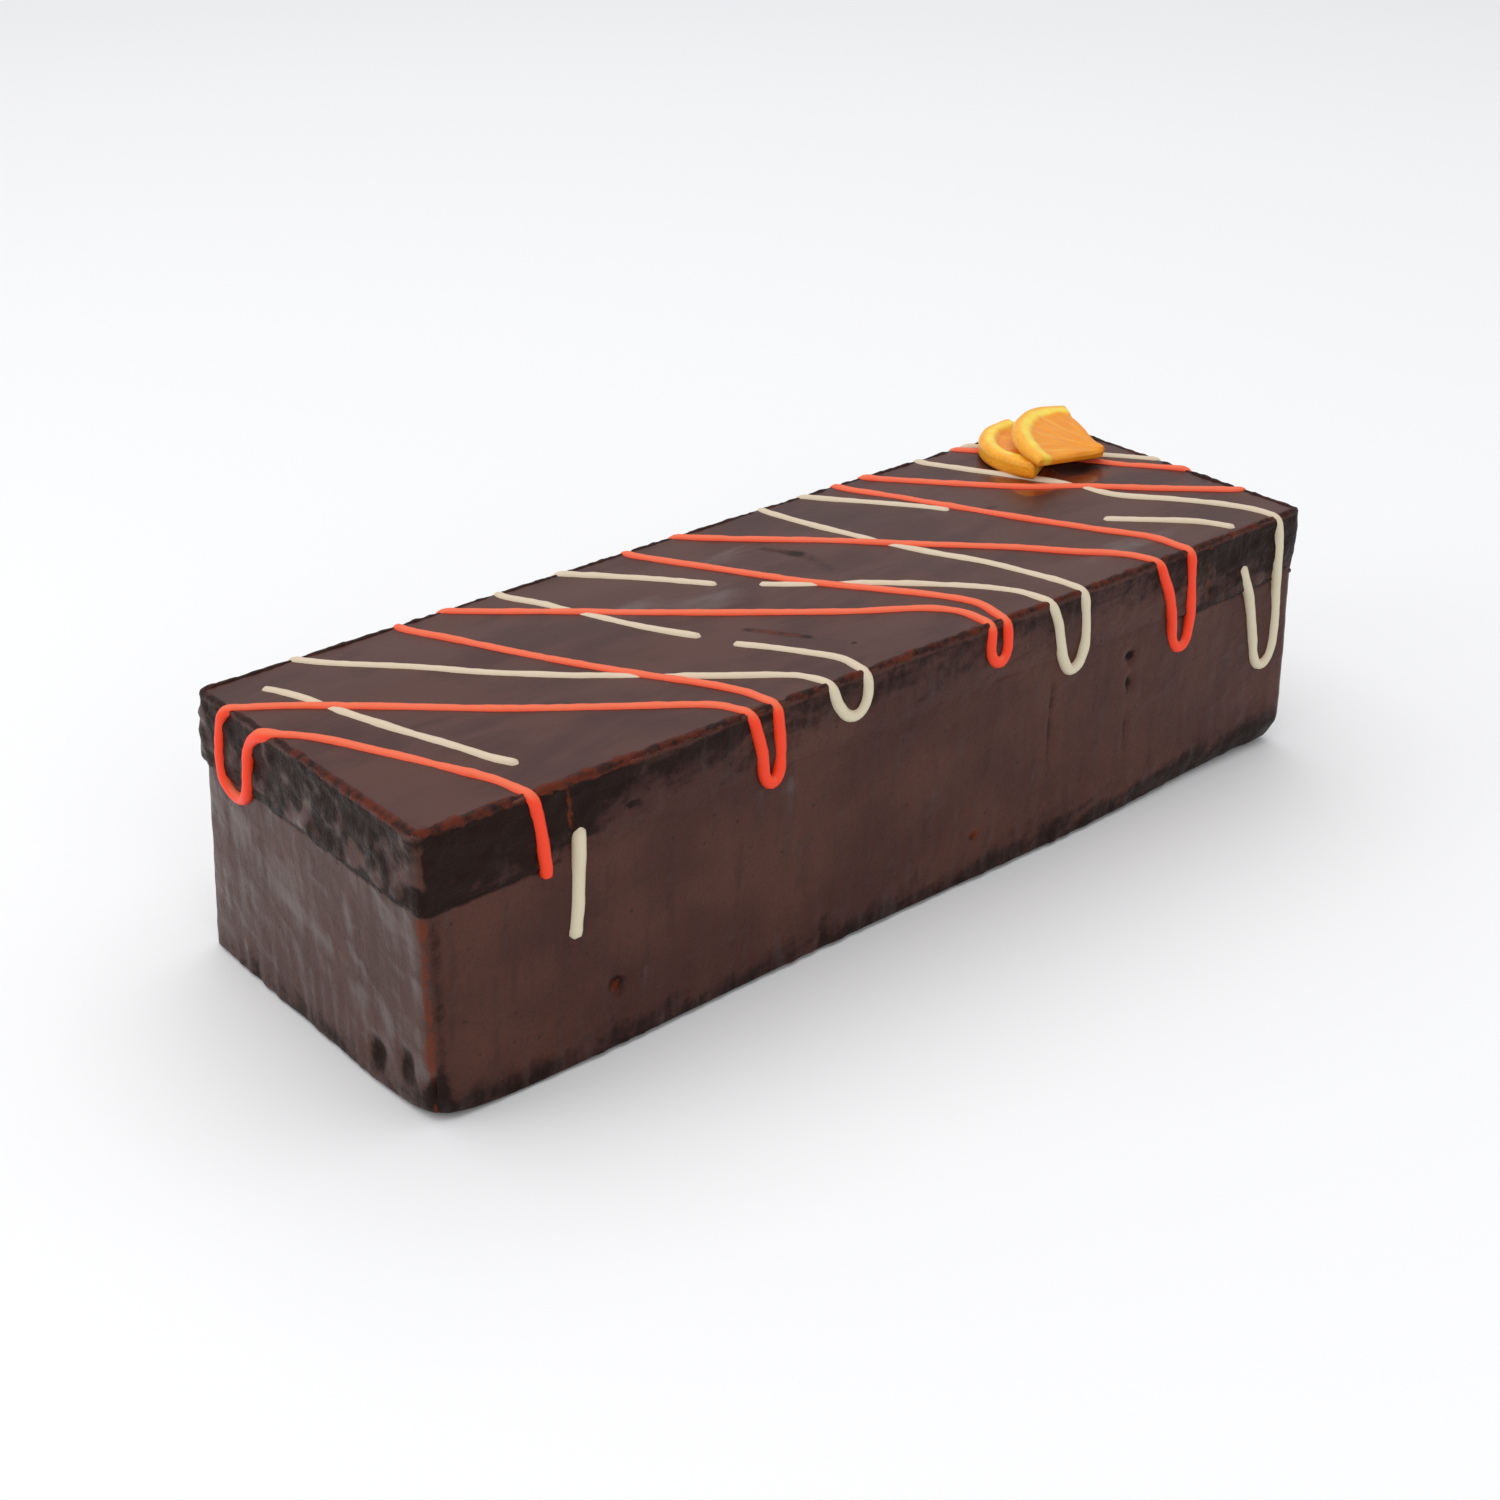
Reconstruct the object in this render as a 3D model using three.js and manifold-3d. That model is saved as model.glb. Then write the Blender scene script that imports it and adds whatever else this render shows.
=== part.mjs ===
// Chocolate orange torte: a long bar of cake in two layers, drizzled with orange and cream icing that
// hangs in loops over its edges, with two candied orange slices on one corner.
// Millimetres. X runs along the bar, Y across it, Z up; the origin is the middle of the underside.
import * as THREE from 'three';
import { mergeVertices } from 'three/addons/utils/BufferGeometryUtils.js';
import Module from 'manifold-3d';

const wasm = await Module();
wasm.setup();

// Driving dimensions of the bar
const LENGTH = 300;
const WIDTH = 100;
const HEIGHT = 75;
const LAYER_SEAM = 55;
const CORNER_RADIUS = { frontLeft: 2.5, frontRight: 2, backLeft: 3.5, backRight: 7 };
const SIDE_BOW = 0.9;
const OVERHANG = 0.8;
const GAP = 0.3;
const OUTLINE_STEP = 6.5;
const FOOT_WEAR = 5;
const WEAR_START = 50;
const CORNER_WEAR = 4.6;
const CORNER_LIFT = 1.5;
const CORNER_WEAR_REACH = 8;

// How the soft cake has settled: how far its foot has spread at each side, most towards the left end,
// and how far the back of its top is drawn in and sunk there
const FOOT_SPREAD = { front: 3.5, back: 7.5, leftFront: 2.8, leftBack: 1.2, rightFront: 3.2, rightBack: 3.2 };
const SPREAD_REACH = 50;
const BACK_DRAWN_IN = 1.8;
const BACK_SAG = 1;

// Driving dimensions of the icing strands
const ORANGE_BEAD = { half: 1.65, height: 1.8 };
const CREAM_BEAD = { half: 1.6, height: 1.6 };
const FLATTER_ON_TOP = 0.4;
const BEAD_SINK = 1.4;
const LONGEST_STEP = 13;
const SHORTEST_STEP = 1.8;
const BEND_PER_STEP = 0.38;
const TIP_LENGTH = 4;
const EDGE_ROUNDING = 2;
const LEG_LEAD = 9;
const LOOP_HALF = 4;

// Driving dimensions of the candied orange slices
const RIND_WIDTH = 2.4;
const PITH_WIDTH = 2.8;
const TIP_RADIUS = 1.2;
const FLAT_SLICE = {
  centre: [127, 25.8, HEIGHT + 5.7], radius: 22.8, from: 82, to: 209,
  rise: 0, lean: 0, rindDepth: 5.35, tipDepth: 5.35, thicken: 0, dip: 1.5,
};
const LEANING_SLICE = {
  centre: [134.5, 11.3, HEIGHT + 5.2], radius: 28.7, from: 70, to: 178,
  rise: 12, lean: 6.3, rindDepth: 3.4, tipDepth: 3.8, thicken: 3, dip: 0.7,
};

const halfLength = LENGTH / 2;
const halfWidth = WIDTH / 2;
const { degToRad, lerp, clamp, smoothstep } = THREE.MathUtils;

const chocolate = new THREE.MeshStandardMaterial({ color: 0x4a302a, roughness: 0.55, metalness: 0 });
const glaze = new THREE.MeshStandardMaterial({ color: 0x5b4340, roughness: 0.35, metalness: 0 });
const candiedOrange = new THREE.MeshStandardMaterial({ color: 0xf0a03c, roughness: 0.4, metalness: 0 });

// A geometry as a solid, with only its shared positions kept
function solidOf(geometry) {
  const bare = geometry.clone();
  bare.deleteAttribute('normal');
  bare.deleteAttribute('uv');
  const merged = mergeVertices(bare, 1e-4);
  return new wasm.Manifold(new wasm.Mesh({
    numProp: 3,
    vertProperties: new Float32Array(merged.attributes.position.array),
    triVerts: new Uint32Array(merged.index.array),
  }));
}

function geometryOf(solid) {
  const mesh = solid.getMesh();
  const geometry = new THREE.BufferGeometry();
  geometry.setAttribute('position', new THREE.BufferAttribute(mesh.vertProperties, 3));
  geometry.setIndex(new THREE.BufferAttribute(mesh.triVerts, 1));
  geometry.computeVertexNormals();
  return geometry;
}

// The main body alone: specks that a join seals in are filled, and loose scraps dropped
function mainBody(solid) {
  return solid.decompose().sort((a, b) => b.volume() - a.volume())[0];
}

// Every vertex of a geometry moved by a rule
function reshape(geometry, rule) {
  const position = geometry.attributes.position;
  const point = new THREE.Vector3();
  for (let i = 0; i < position.count; i += 1) {
    point.fromBufferAttribute(position, i);
    const moved = rule(point);
    position.setXYZ(i, moved.x, moved.y, moved.z);
  }
  return geometry;
}

const cornerRadius = (x, y) => CORNER_RADIUS[(y < 0 ? 'front' : 'back') + (x < 0 ? 'Left' : 'Right')];

// Plan of the bar: straight sides in short steps, slightly bowed, with rounded corners
function barOutline() {
  const points = [];
  const signs = [[1, 1], [-1, 1], [-1, -1], [1, -1]];
  const corners = signs.map(([sx, sy]) => {
    const radius = cornerRadius(sx, sy);
    return { centre: new THREE.Vector2(sx * (halfLength - radius), sy * (halfWidth - radius)), radius };
  });
  corners.forEach(({ centre, radius }, turn) => {
    const polar = (distance, angle) => (
      new THREE.Vector2(Math.cos(angle), Math.sin(angle)).multiplyScalar(distance)
    );
    for (let step = 0; step <= 3; step += 1) {
      points.push(polar(radius, (turn + step / 3) * Math.PI / 2).add(centre));
    }
    const next = corners[(turn + 1) % 4];
    const facing = (turn + 1) * Math.PI / 2;
    const start = polar(radius, facing).add(centre);
    const end = polar(next.radius, facing).add(next.centre);
    const count = Math.round(start.distanceTo(end) / OUTLINE_STEP);
    for (let step = 1; step < count; step += 1) {
      const bow = SIDE_BOW * (1 - (2 * step / count - 1) ** 2);
      points.push(start.clone().lerp(end, step / count).add(polar(bow, facing)));
    }
  });
  return new THREE.Shape(points);
}

// Direction that points squarely out of the bar's side at a place on its outline
function outward(x, y) {
  const radius = cornerRadius(x, y);
  const coreX = clamp(x, radius - halfLength, halfLength - radius);
  const coreY = clamp(y, radius - halfWidth, halfWidth - radius);
  return new THREE.Vector2(x - coreX, y - coreY).normalize();
}

// How much of the foot is worn away towards the right end
function footWear(x, out) {
  return FOOT_WEAR * smoothstep(x, WEAR_START, halfLength) * lerp(0.6, 1, Math.abs(out.y));
}

// How much of the foot is worn away at the front left corner, from 0 to 1
const cornerWear = (x, y) => Math.exp(-Math.hypot(x + halfLength, y + halfWidth) / CORNER_WEAR_REACH);

// Where a place on the freshly made cake lies once the cake has settled
function settled({ x, y, z }) {
  const low = 1 - Math.min(z / HEIGHT, 1);
  const across = y / halfWidth;
  const toBack = (across + 1) / 2;
  const nearEnd = smoothstep(Math.abs(x), halfLength - SPREAD_REACH, halfLength);
  const end = x < 0
    ? -lerp(FOOT_SPREAD.leftFront, FOOT_SPREAD.leftBack, toBack)
    : lerp(FOOT_SPREAD.rightFront, FOOT_SPREAD.rightBack, toBack);
  const front = FOOT_SPREAD.front * Math.min(across, 0) * (1 - smoothstep(x, -halfLength, 0));
  const leftward = 1 - smoothstep(x, -halfLength, 100);
  const back = FOOT_SPREAD.back * Math.max(across, 0) * leftward;
  const backEdge = smoothstep(y, 15, halfWidth) * leftward;
  return new THREE.Vector3(
    x + low * end * nearEnd,
    y + low * (front + back) - BACK_DRAWN_IN * backEdge,
    z - BACK_SAG * backEdge * smoothstep(z, LAYER_SEAM + 5, HEIGHT),
  );
}

// One layer of cake. Each row of its wall has a height, an inset from the plan, a share of the relief
// and, on the icing's rim, a ragged lift, or at the foot, a share of the wear.
function layerSolid(rows, relief, grow = 0) {
  const steps = rows.length - 1;
  const block = new THREE.ExtrudeGeometry(barOutline(), { depth: 1, steps, bevelEnabled: false });
  return solidOf(reshape(block, ({ x, y, z }) => {
    const row = rows[Math.round(z * steps)];
    const out = outward(x, y);
    const along = x + 1.3 * y;
    const wear = row.wear ?? 0;
    const offset = grow - row.inset - wear * footWear(x, out) + row.relief * relief(along, row.z);
    const chipped = wear * cornerWear(x, y);
    const lift = (row.ragged ?? 0) * raggedness(along) + CORNER_LIFT * chipped * Math.min(row.z, 1);
    const drawnIn = CORNER_WEAR * chipped;
    return new THREE.Vector3(x + out.x * offset + drawnIn, y + out.y * offset + drawnIn, row.z + lift);
  }));
}

function raggedness(along) {
  return Math.sin(along / 3.1) * 0.5 + Math.sin(along / 7.3 + 1.2) * 0.5;
}

// Upright streaks left where the block was lifted from its mould, deepest at the foot
function wallStreaks(along, z) {
  const foot = 0.35 + 0.65 * Math.exp(-z / 16);
  const streaks = Math.sin(along / 2.9 + 0.4) * 0.35 + Math.sin(along / 5.7 + 2.1) * 0.35;
  return foot * (streaks + Math.sin(along / 21 + z / 19) * 0.2) - 0.25;
}

// Strokes of a palette knife on the upper layer's wall
function knifeMarks(along, z) {
  const strokes = Math.sin((along + 1.4 * z) / 6.2) * 0.3 + Math.sin(along / 14.7 - z / 4.3) * 0.3;
  return strokes - 0.1;
}

const baseTop = LAYER_SEAM - GAP / 2;
const baseRows = [
  { z: 0, inset: 1.6, relief: 0.5, wear: 1 },
  { z: 2, inset: 0.3, relief: 1, wear: 0.55 },
  { z: 7, inset: 0, relief: 1, wear: 0.08 },
  { z: 14, inset: 0, relief: 1 },
  { z: 24, inset: 0, relief: 1 },
  { z: 36, inset: 0, relief: 1 },
  { z: 50, inset: 0, relief: 0.8 },
  { z: 53.6, inset: 0.3, relief: 0.6 },
  { z: baseTop, inset: 1.5, relief: 0.3 },
].map((row) => ({ ...row, inset: row.inset + OVERHANG }));

// The lower block carried up past the seam, to trim the back of the icing that hangs over it
const trimRows = [...baseRows.slice(0, -1), { ...baseRows.at(-1), z: LAYER_SEAM + 2 * GAP }];

const bandRows = [
  { z: LAYER_SEAM + GAP / 2, inset: 0.9, relief: 0.3 },
  { z: 56.4, inset: 0, relief: 1 },
  { z: 60.5, inset: 0, relief: 1 },
  { z: 65.5, inset: 0, relief: 1 },
  { z: 70.5, inset: 0, relief: 1 },
  { z: 74, inset: 0.1, relief: 0.6 },
  { z: HEIGHT + 0.5, inset: 0.9, relief: 0.3, ragged: 0.5 },
  { z: HEIGHT, inset: 2.8, relief: 0.3 },
];

// Dents in the lower block's wall: place, radius and stretch along Z
const DENTS = [
  { at: [-150.5, -50, 9], radius: 4.6, tall: 1.5 },
  { at: [-150.4, -27, 9.5], radius: 3, tall: 1.3 },
  { at: [-150.2, -39, 14], radius: 2.2, tall: 1.9 },
  { at: [-98, -51, 17.2], radius: 2.7, tall: 1.2 },
  { at: [80, -51.2, 49], radius: 2.6, tall: 1 },
  { at: [80, -51, 41.5], radius: 2.4, tall: 1.4 },
  { at: [79.5, -50.9, 25], radius: 2, tall: 5 },
  { at: [49, -50.9, 36], radius: 2, tall: 8 },
];

function dentSolid({ at, radius, tall }) {
  const stone = new THREE.IcosahedronGeometry(radius, 1);
  stone.scale(1, 1, tall);
  stone.translate(...at);
  return solidOf(stone);
}

function baseLayer() {
  const block = layerSolid(baseRows, wallStreaks);
  return DENTS.reduce((solid, dent) => solid.subtract(dentSolid(dent)), block);
}

// Places on the bar's unrolled surface, U along and V across: past the half width or half length the
// surface goes down the wall
const EDGES = {
  front: (along, drop) => new THREE.Vector2(along, -halfWidth - drop),
  back: (along, drop) => new THREE.Vector2(along, halfWidth + drop),
  left: (along, drop) => new THREE.Vector2(-halfLength - drop, along),
  right: (along, drop) => new THREE.Vector2(halfLength + drop, along),
};

// Where a place on the unrolled surface lies in space, and which way is out of the cake there
function drape({ x: u, y: v }) {
  const down = (distance, half) => {
    const past = Math.abs(distance) - half;
    const bend = clamp((past + EDGE_ROUNDING) / (2 * EDGE_ROUNDING), 0, 1) * Math.PI / 2;
    const sideways = past < -EDGE_ROUNDING
      ? Math.abs(distance)
      : half - EDGE_ROUNDING + EDGE_ROUNDING * Math.sin(bend);
    const fall = past > EDGE_ROUNDING ? past : EDGE_ROUNDING * (1 - Math.cos(bend));
    return { place: Math.sign(distance) * sideways, fall, bend, side: Math.sign(distance) };
  };
  const alongX = down(u, halfLength);
  const alongY = down(v, halfWidth);
  const out = new THREE.Vector3(
    alongX.side * Math.sin(alongX.bend),
    alongY.side * Math.sin(alongY.bend),
    Math.cos(alongX.bend) * Math.cos(alongY.bend),
  );
  const swell = SIDE_BOW * (1 - (u / halfLength) ** 2) * Math.sin(alongY.bend) * alongY.side;
  const z = HEIGHT - alongX.fall - alongY.fall;
  return { point: new THREE.Vector3(alongX.place, alongY.place + swell, z), out: out.normalize() };
}

// A loop that hangs over an edge: it comes in at one place, swings down and returns at another
function loop(edge, enter, bottom, leave, drop, half = LOOP_HALF) {
  const place = EDGES[edge];
  const reach = half * (Math.sign(leave + bottom - 2 * enter) || 1);
  return [
    place(enter, 0),
    place(lerp(enter, bottom - reach, 0.75), (drop - 1.4 * half) * 0.5),
    place(bottom - reach, drop - 1.4 * half),
    place(bottom - 0.75 * reach, drop - 0.35 * half),
    place(bottom, drop),
    place(bottom + 0.75 * reach, drop - 0.35 * half),
    place(bottom + reach, drop - 1.4 * half),
    place(lerp(leave, bottom + reach, 0.75), (drop - 1.4 * half) * 0.5),
    place(leave, 0),
  ];
}

// A run laid by hand near an edge, each place given along the edge and below it
function over(edge, ...places) {
  return places.map(([along, drop]) => EDGES[edge](along, drop));
}

// The end of a strand that hangs over an edge, from where it crosses to its tip
function drip(edge, cross, tip, drop) {
  return [EDGES[edge](cross, 0), EDGES[edge](lerp(cross, tip, 0.6), drop * 0.5), EDGES[edge](tip, drop)];
}

const top = (...places) => places.map(([x, y]) => new THREE.Vector2(x, y));

// The stops of a strand joined into one route. A long leg between two stops gets a point near each
// of its ends, so that it runs straight between them.
function route(...stops) {
  const points = [];
  stops.forEach((stop) => {
    const last = points.at(-1);
    if (last && last.distanceTo(stop[0]) > 4 * LEG_LEAD) {
      const share = LEG_LEAD / last.distanceTo(stop[0]);
      points.push(last.clone().lerp(stop[0], share), last.clone().lerp(stop[0], 1 - share));
    }
    points.push(...stop);
  });
  return new THREE.CatmullRomCurve3(points.map(({ x, y }) => new THREE.Vector3(x, y, 0)));
}

const orangeRoutes = [
  route(
    over('front', [-116.4, 22.3], [-117, 15.5], [-117.8, 8], [-118.8, 2.5]),
    top([-120.0, -47.9], [-121.1, -40.2], [-123.1, -35.2], [-129.6, -20.6], [-139.8, 1.7], [-143.9, 8.2]),
    over('left', [13.2, -1.1], [17.4, 1.8], [20.7, 4.8], [22.5, 9]),
    over('left', [22.9, 14], [23.6, 18.6], [26.4, 22.6]),
    over('left', [30.2, 24], [33.9, 22.9], [36.3, 19.2], [36.9, 14]),
    over('left', [36.6, 8.5], [35.6, 3.5], [33.9, -0.4]),
    top([-146.4, 31.2], [-142.2, 27.8], [-125.1, 12.5], [-98.5, -11.6], [-70.2, -33.2], [-62.2, -39.2]),
    over('front', [-58.6, -6.8], [-57.1, -2.5], [-55.7, 1.5]),
    over('front', [-54.5, 6.3], [-53.3, 10.5], [-52.8, 15]),
    over('front', [-52.4, 18.6], [-50.4, 21], [-48.2, 19.4], [-47.5, 15]),
    over('front', [-47.6, 9.5], [-48.1, 4.5], [-48.3, 0]),
    top([-49.0, -46.2], [-49.5, -41.2], [-52.4, -34.0], [-64.5, -13.9], [-79.8, 15.4], [-86.3, 32.8]),
    loop('back', -92.2, -84.5, -77.9, 15),
    top([-71.0, 42.8], [-42.5, 14.8], [-6.6, -14.8], [5.7, -24.0]),
    top([13.0, -28.6], [19.3, -33.4], [23.2, -38.4]),
    over('front', [24.4, -7.0], [24.0, -2.8], [24.1, 0]),
    over('front', [23.6, 4], [23.7, 7.5], [24.8, 10.6]),
    over('front', [27, 11.9], [29.1, 10.7], [29.8, 7.5], [29.6, 3.5]),
    over('front', [29.3, -0.3], [29.6, -3.3], [30.9, -7.8]),
    top([31.0, -38.5], [25.2, -26.6], [6.5, 0.1], [-2.0, 14.8], [-10.2, 30.7], [-14.5, 39.8]),
    loop('back', -18.4, -9, -0.6, 20),
    top([8.1, 40.3], [37.9, 10.6], [66.9, -18.9], [77.3, -31.5]),
    top([83.4, -37.8], [86.8, -43.2], [87.8, -47.4]),
    over('front', [88.7, 0.5], [90.3, 4.5], [92.8, 9.5], [94.8, 15]),
    over('front', [96.1, 21], [97.3, 26], [99.4, 29.2]),
    over('front', [101.9, 29.3], [103.5, 26.5], [103.6, 21], [102.9, 15]),
    over('front', [102.3, 9], [101.9, 4], [101.5, -0.7]),
    top([101.0, -45.7], [101.3, -41.7], [100.4, -36.4], [93.5, -24.1], [79.3, 4.8], [67.7, 30.3]),
    loop('back', 59.4, 65.5, 70.4, 13),
    top([77.7, 40.4], [100.9, 14.2], [114.7, 3.0], [133.4, -15.2], [141.0, -22.2]),
    loop('right', -29.1, -17.5, -7.1, 22),
    top([143.0, 1.0], [137.4, 7.9], [133.0, 15.3]),
    drip('back', 108, 106, 12),
  ),
];

const creamRoutes = [
  route(
    top([-137.0, 39.0], [-134.2, 31.3], [-127.3, 4.5], [-118.0, -23.5], [-115.9, -30.2], [-112.9, -36.4]),
  ),
  route(
    over('front', [-107.3, 12], [-107.6, 19], [-107.8, 26], [-108.5, 33], [-109.8, 40.7]),
  ),
  route(
    drip('back', -122.5, -124.5, 12).reverse(),
    top([-117.1, 40.8], [-92.5, 9.9], [-76.8, -5.8], [-48.7, -29.4], [-36.9, -38.8], [-33.5, -42.2]),
    over('front', [-31.9, -3.8], [-30.9, -0.3], [-30, 3.8]),
    over('front', [-28.2, 7.5], [-25.9, 10.2], [-23.6, 11.2]),
    over('front', [-21, 10.4], [-19.4, 7.8], [-19.1, 4.5]),
    over('front', [-19.3, 1], [-19.6, -2.5], [-18.7, -6.8]),
    top([-19.6, -39.7], [-23.1, -33.5], [-28.6, -24.8], [-34.5, -16.8]),
  ),
  route(
    top([-37.5, -8.7], [-43.2, 1.4], [-47.0, 9.0], [-56.2, 36.6]),
    loop('back', -60.9, -50, -40.4, 16),
    top([-33.1, 41.3], [-23.1, 28.0], [-13.2, 14.4]),
  ),
  route(
    top([-5.0, 8.0], [3.5, 0.7], [14.4, -7.0], [24.4, -15.9]),
    top([35.5, -27.3], [42.0, -35.7], [45.0, -41.0]),
    over('front', [45.6, -4.8], [46.0, -0.7], [47.2, 3], [49, 7]),
    over('front', [50, 12], [51.2, 16.5], [53, 20.5]),
    over('front', [55.9, 22.9], [58.3, 21], [59.6, 17.2], [59.9, 12]),
    over('front', [59.4, 7], [58.8, 2.5], [58.4, -1.4]),
    top([58.3, -44.7], [56.6, -36.4], [52.6, -21.5], [45.6, -5.3], [36.5, 21.6], [32.5, 38.8]),
    loop('back', 30.9, 39, 46.4, 17),
    top([53.2, 40.3], [68.9, 19.0], [72.0, 13.6]),
  ),
  route(
    top([100.0, -18.6], [108.1, -26.1], [118.9, -36.7], [122.0, -41.8], [124.0, -47.2]),
  ),
  route(
    over('front', [124.6, 10.8], [126.5, 15.9], [130.1, 23.4]),
    over('front', [131.8, 30.3], [133.1, 37], [134.1, 42.8]),
    over('front', [136.6, 46.4], [139.6, 45.6], [141.5, 41.5], [142.2, 34]),
    over('front', [142, 26], [140.8, 19], [140.4, 9]),
    over('front', [139.7, 2.4], [139.2, -1.8]),
    top([139.3, -44.2], [136.0, -34.2], [126.9, -20.8], [116.6, -6.9], [113.8, 5.8], [98.4, 35.8]),
    loop('back', 92.4, 104, 112.9, 14),
    top([141.5, 14.3], [145.0, 9.8]),
    drip('right', 4, 6, 16),
  ),
];

// Where a route is at a share of its length, which way it runs, and which way is out of the cake
function routeFrame(path, share, length) {
  const { point, out } = drape(path.getPointAt(share));
  const before = drape(path.getPointAt(Math.max(share - 0.5 / length, 0))).point;
  const after = drape(path.getPointAt(Math.min(share + 0.5 / length, 1))).point;
  return { point, out, ahead: after.sub(before).normalize() };
}

// Places for a bead's sections: far apart where the route runs straight, close where it bends
function sectionShares(path, length) {
  const shares = [0];
  let last = routeFrame(path, 0, length);
  for (let run = 0.5; run < length - SHORTEST_STEP; run += 0.5) {
    const here = routeFrame(path, run / length, length);
    const bend = here.ahead.angleTo(last.ahead) + 0.5 * here.out.angleTo(last.out);
    const step = run - shares.at(-1) * length;
    const atTip = Math.abs(Math.min(run, length - run) - TIP_LENGTH) < 0.3;
    if (atTip || step > LONGEST_STEP || (step > SHORTEST_STEP && bend > BEND_PER_STEP)) {
      shares.push(run / length);
      last = here;
    }
  }
  return [...shares, 1];
}

// A six-sided bead laid along a route on the cake's surface, sunk a little into it, with tapered tips
function beadSolid(path, { half, height }) {
  path.arcLengthDivisions = 2000;
  const length = path.getLength();
  const shares = sectionShares(path, length);
  const last = shares.length - 1;
  const rod = new THREE.CylinderGeometry(1, 1, 1, 6, last, false, Math.PI / 6);
  return solidOf(reshape(rod, ({ x, y, z }) => {
    const share = shares[Math.round((y + 0.5) * last)];
    const { point, out, ahead } = routeFrame(path, share, length);
    const side = ahead.cross(out).normalize();
    const fromTip = Math.min(share, 1 - share) * length / TIP_LENGTH;
    const size = 0.45 + 0.55 * Math.min(fromTip, 1);
    const tall = height * (1 - FLATTER_ON_TOP * out.z ** 2);
    const lift = z > 0 ? z * tall * size : z * BEAD_SINK;
    return point.addScaledVector(side, x * half * size).addScaledVector(out, lift);
  }));
}

// The band of the upper layer with all the icing fused to it, kept clear of what lies beside it
function topLayer(neighbours) {
  const beads = [
    ...creamRoutes.map((path) => beadSolid(path, CREAM_BEAD)),
    ...orangeRoutes.map((path) => beadSolid(path, ORANGE_BEAD)),
  ];
  const icing = beads.reduce((all, bead) => all.add(bead));
  const hanging = icing.subtract(layerSolid(trimRows, wallStreaks, GAP));
  const iced = layerSolid(bandRows, knifeMarks).add(hanging);
  return mainBody(neighbours.reduce((solid, neighbour) => solid.subtract(neighbour), iced));
}

// A quarter slice of orange, its point at its own origin and its upper face level there: a thick rind
// and pith round flesh that has sunk in the sugar. An unevenly cut slice is thicker at its first end.
function sliceGeometry({ radius, from, to, rindDepth, tipDepth, thicken, dip }, grow = 0) {
  const flesh = radius - RIND_WIDTH - PITH_WIDTH;
  const rings = [
    { r: TIP_RADIUS - grow, top: -0.5 * dip },
    { r: 0.5 * flesh, top: -dip },
    { r: flesh - 0.8, top: -dip },
    { r: flesh + 0.8, top: -0.1 },
    { r: radius - RIND_WIDTH, top: 0 },
    { r: radius - 0.7, top: -0.2 },
    { r: radius + grow, top: -1 },
  ];
  const last = rings.length - 1;
  const block = new THREE.BoxGeometry(1, 1, 1, last, 10, 2);
  return reshape(block, ({ x, y, z }) => {
    const index = Math.round((x + 0.5) * last);
    const { r, top } = rings[index];
    const widen = THREE.MathUtils.radToDeg(grow / r);
    const angle = degToRad(lerp(from - widen, to + widen, y + 0.5));
    const depth = lerp(tipDepth, rindDepth + thicken * (0.5 - y), r / radius);
    const chamfer = index === last && Math.abs(z) > 0.25 ? 0.6 : 0;
    const height = lerp(-depth - grow, top + grow, z + 0.5);
    return new THREE.Vector3((r - chamfer) * Math.cos(angle), (r - chamfer) * Math.sin(angle), height);
  });
}

function orangeSlice(name, slice) {
  const mesh = new THREE.Mesh(sliceGeometry(slice), candiedOrange.clone());
  mesh.name = name;
  mesh.position.set(...slice.centre);
  mesh.rotation.set(degToRad(slice.rise), degToRad(slice.lean), 0);
  mesh.updateMatrix();
  return mesh;
}

// The room that a slice takes up, with the gap round it, in the torte's frame
const roomOf = (mesh, slice) => sliceGeometry(slice, GAP).applyMatrix4(mesh.matrix);

const flatSlice = orangeSlice('orange_slice_flat', FLAT_SLICE);
const leaningSlice = orangeSlice('orange_slice_leaning', LEANING_SLICE);
const flatRoom = roomOf(flatSlice, FLAT_SLICE);
const leaningRoom = roomOf(leaningSlice, LEANING_SLICE);

const flatRoomFromLeaning = flatRoom.clone().applyMatrix4(leaningSlice.matrix.clone().invert());
leaningSlice.geometry = geometryOf(solidOf(leaningSlice.geometry).subtract(solidOf(flatRoomFromLeaning)));

function layerMesh(name, solid, material) {
  const geometry = reshape(geometryOf(solid), settled);
  geometry.computeVertexNormals();
  const mesh = new THREE.Mesh(geometry, material);
  mesh.name = name;
  return mesh;
}

const torte = new THREE.Group();
torte.add(
  layerMesh('base_layer', baseLayer(), chocolate),
  layerMesh('top_layer', topLayer([solidOf(flatRoom), solidOf(leaningRoom)]), glaze),
  flatSlice,
  leaningSlice,
);

export default torte;
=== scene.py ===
"""The finish of a chocolate orange torte: a two-layer bar of cake with looping strands of orange and
cream icing, and two candied orange slices on one corner. Sizes in this file are in millimetres,
apart from the studio's, which are in metres."""

import math

import bpy
import numpy as np
from mathutils import Matrix, Vector, noise


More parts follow.
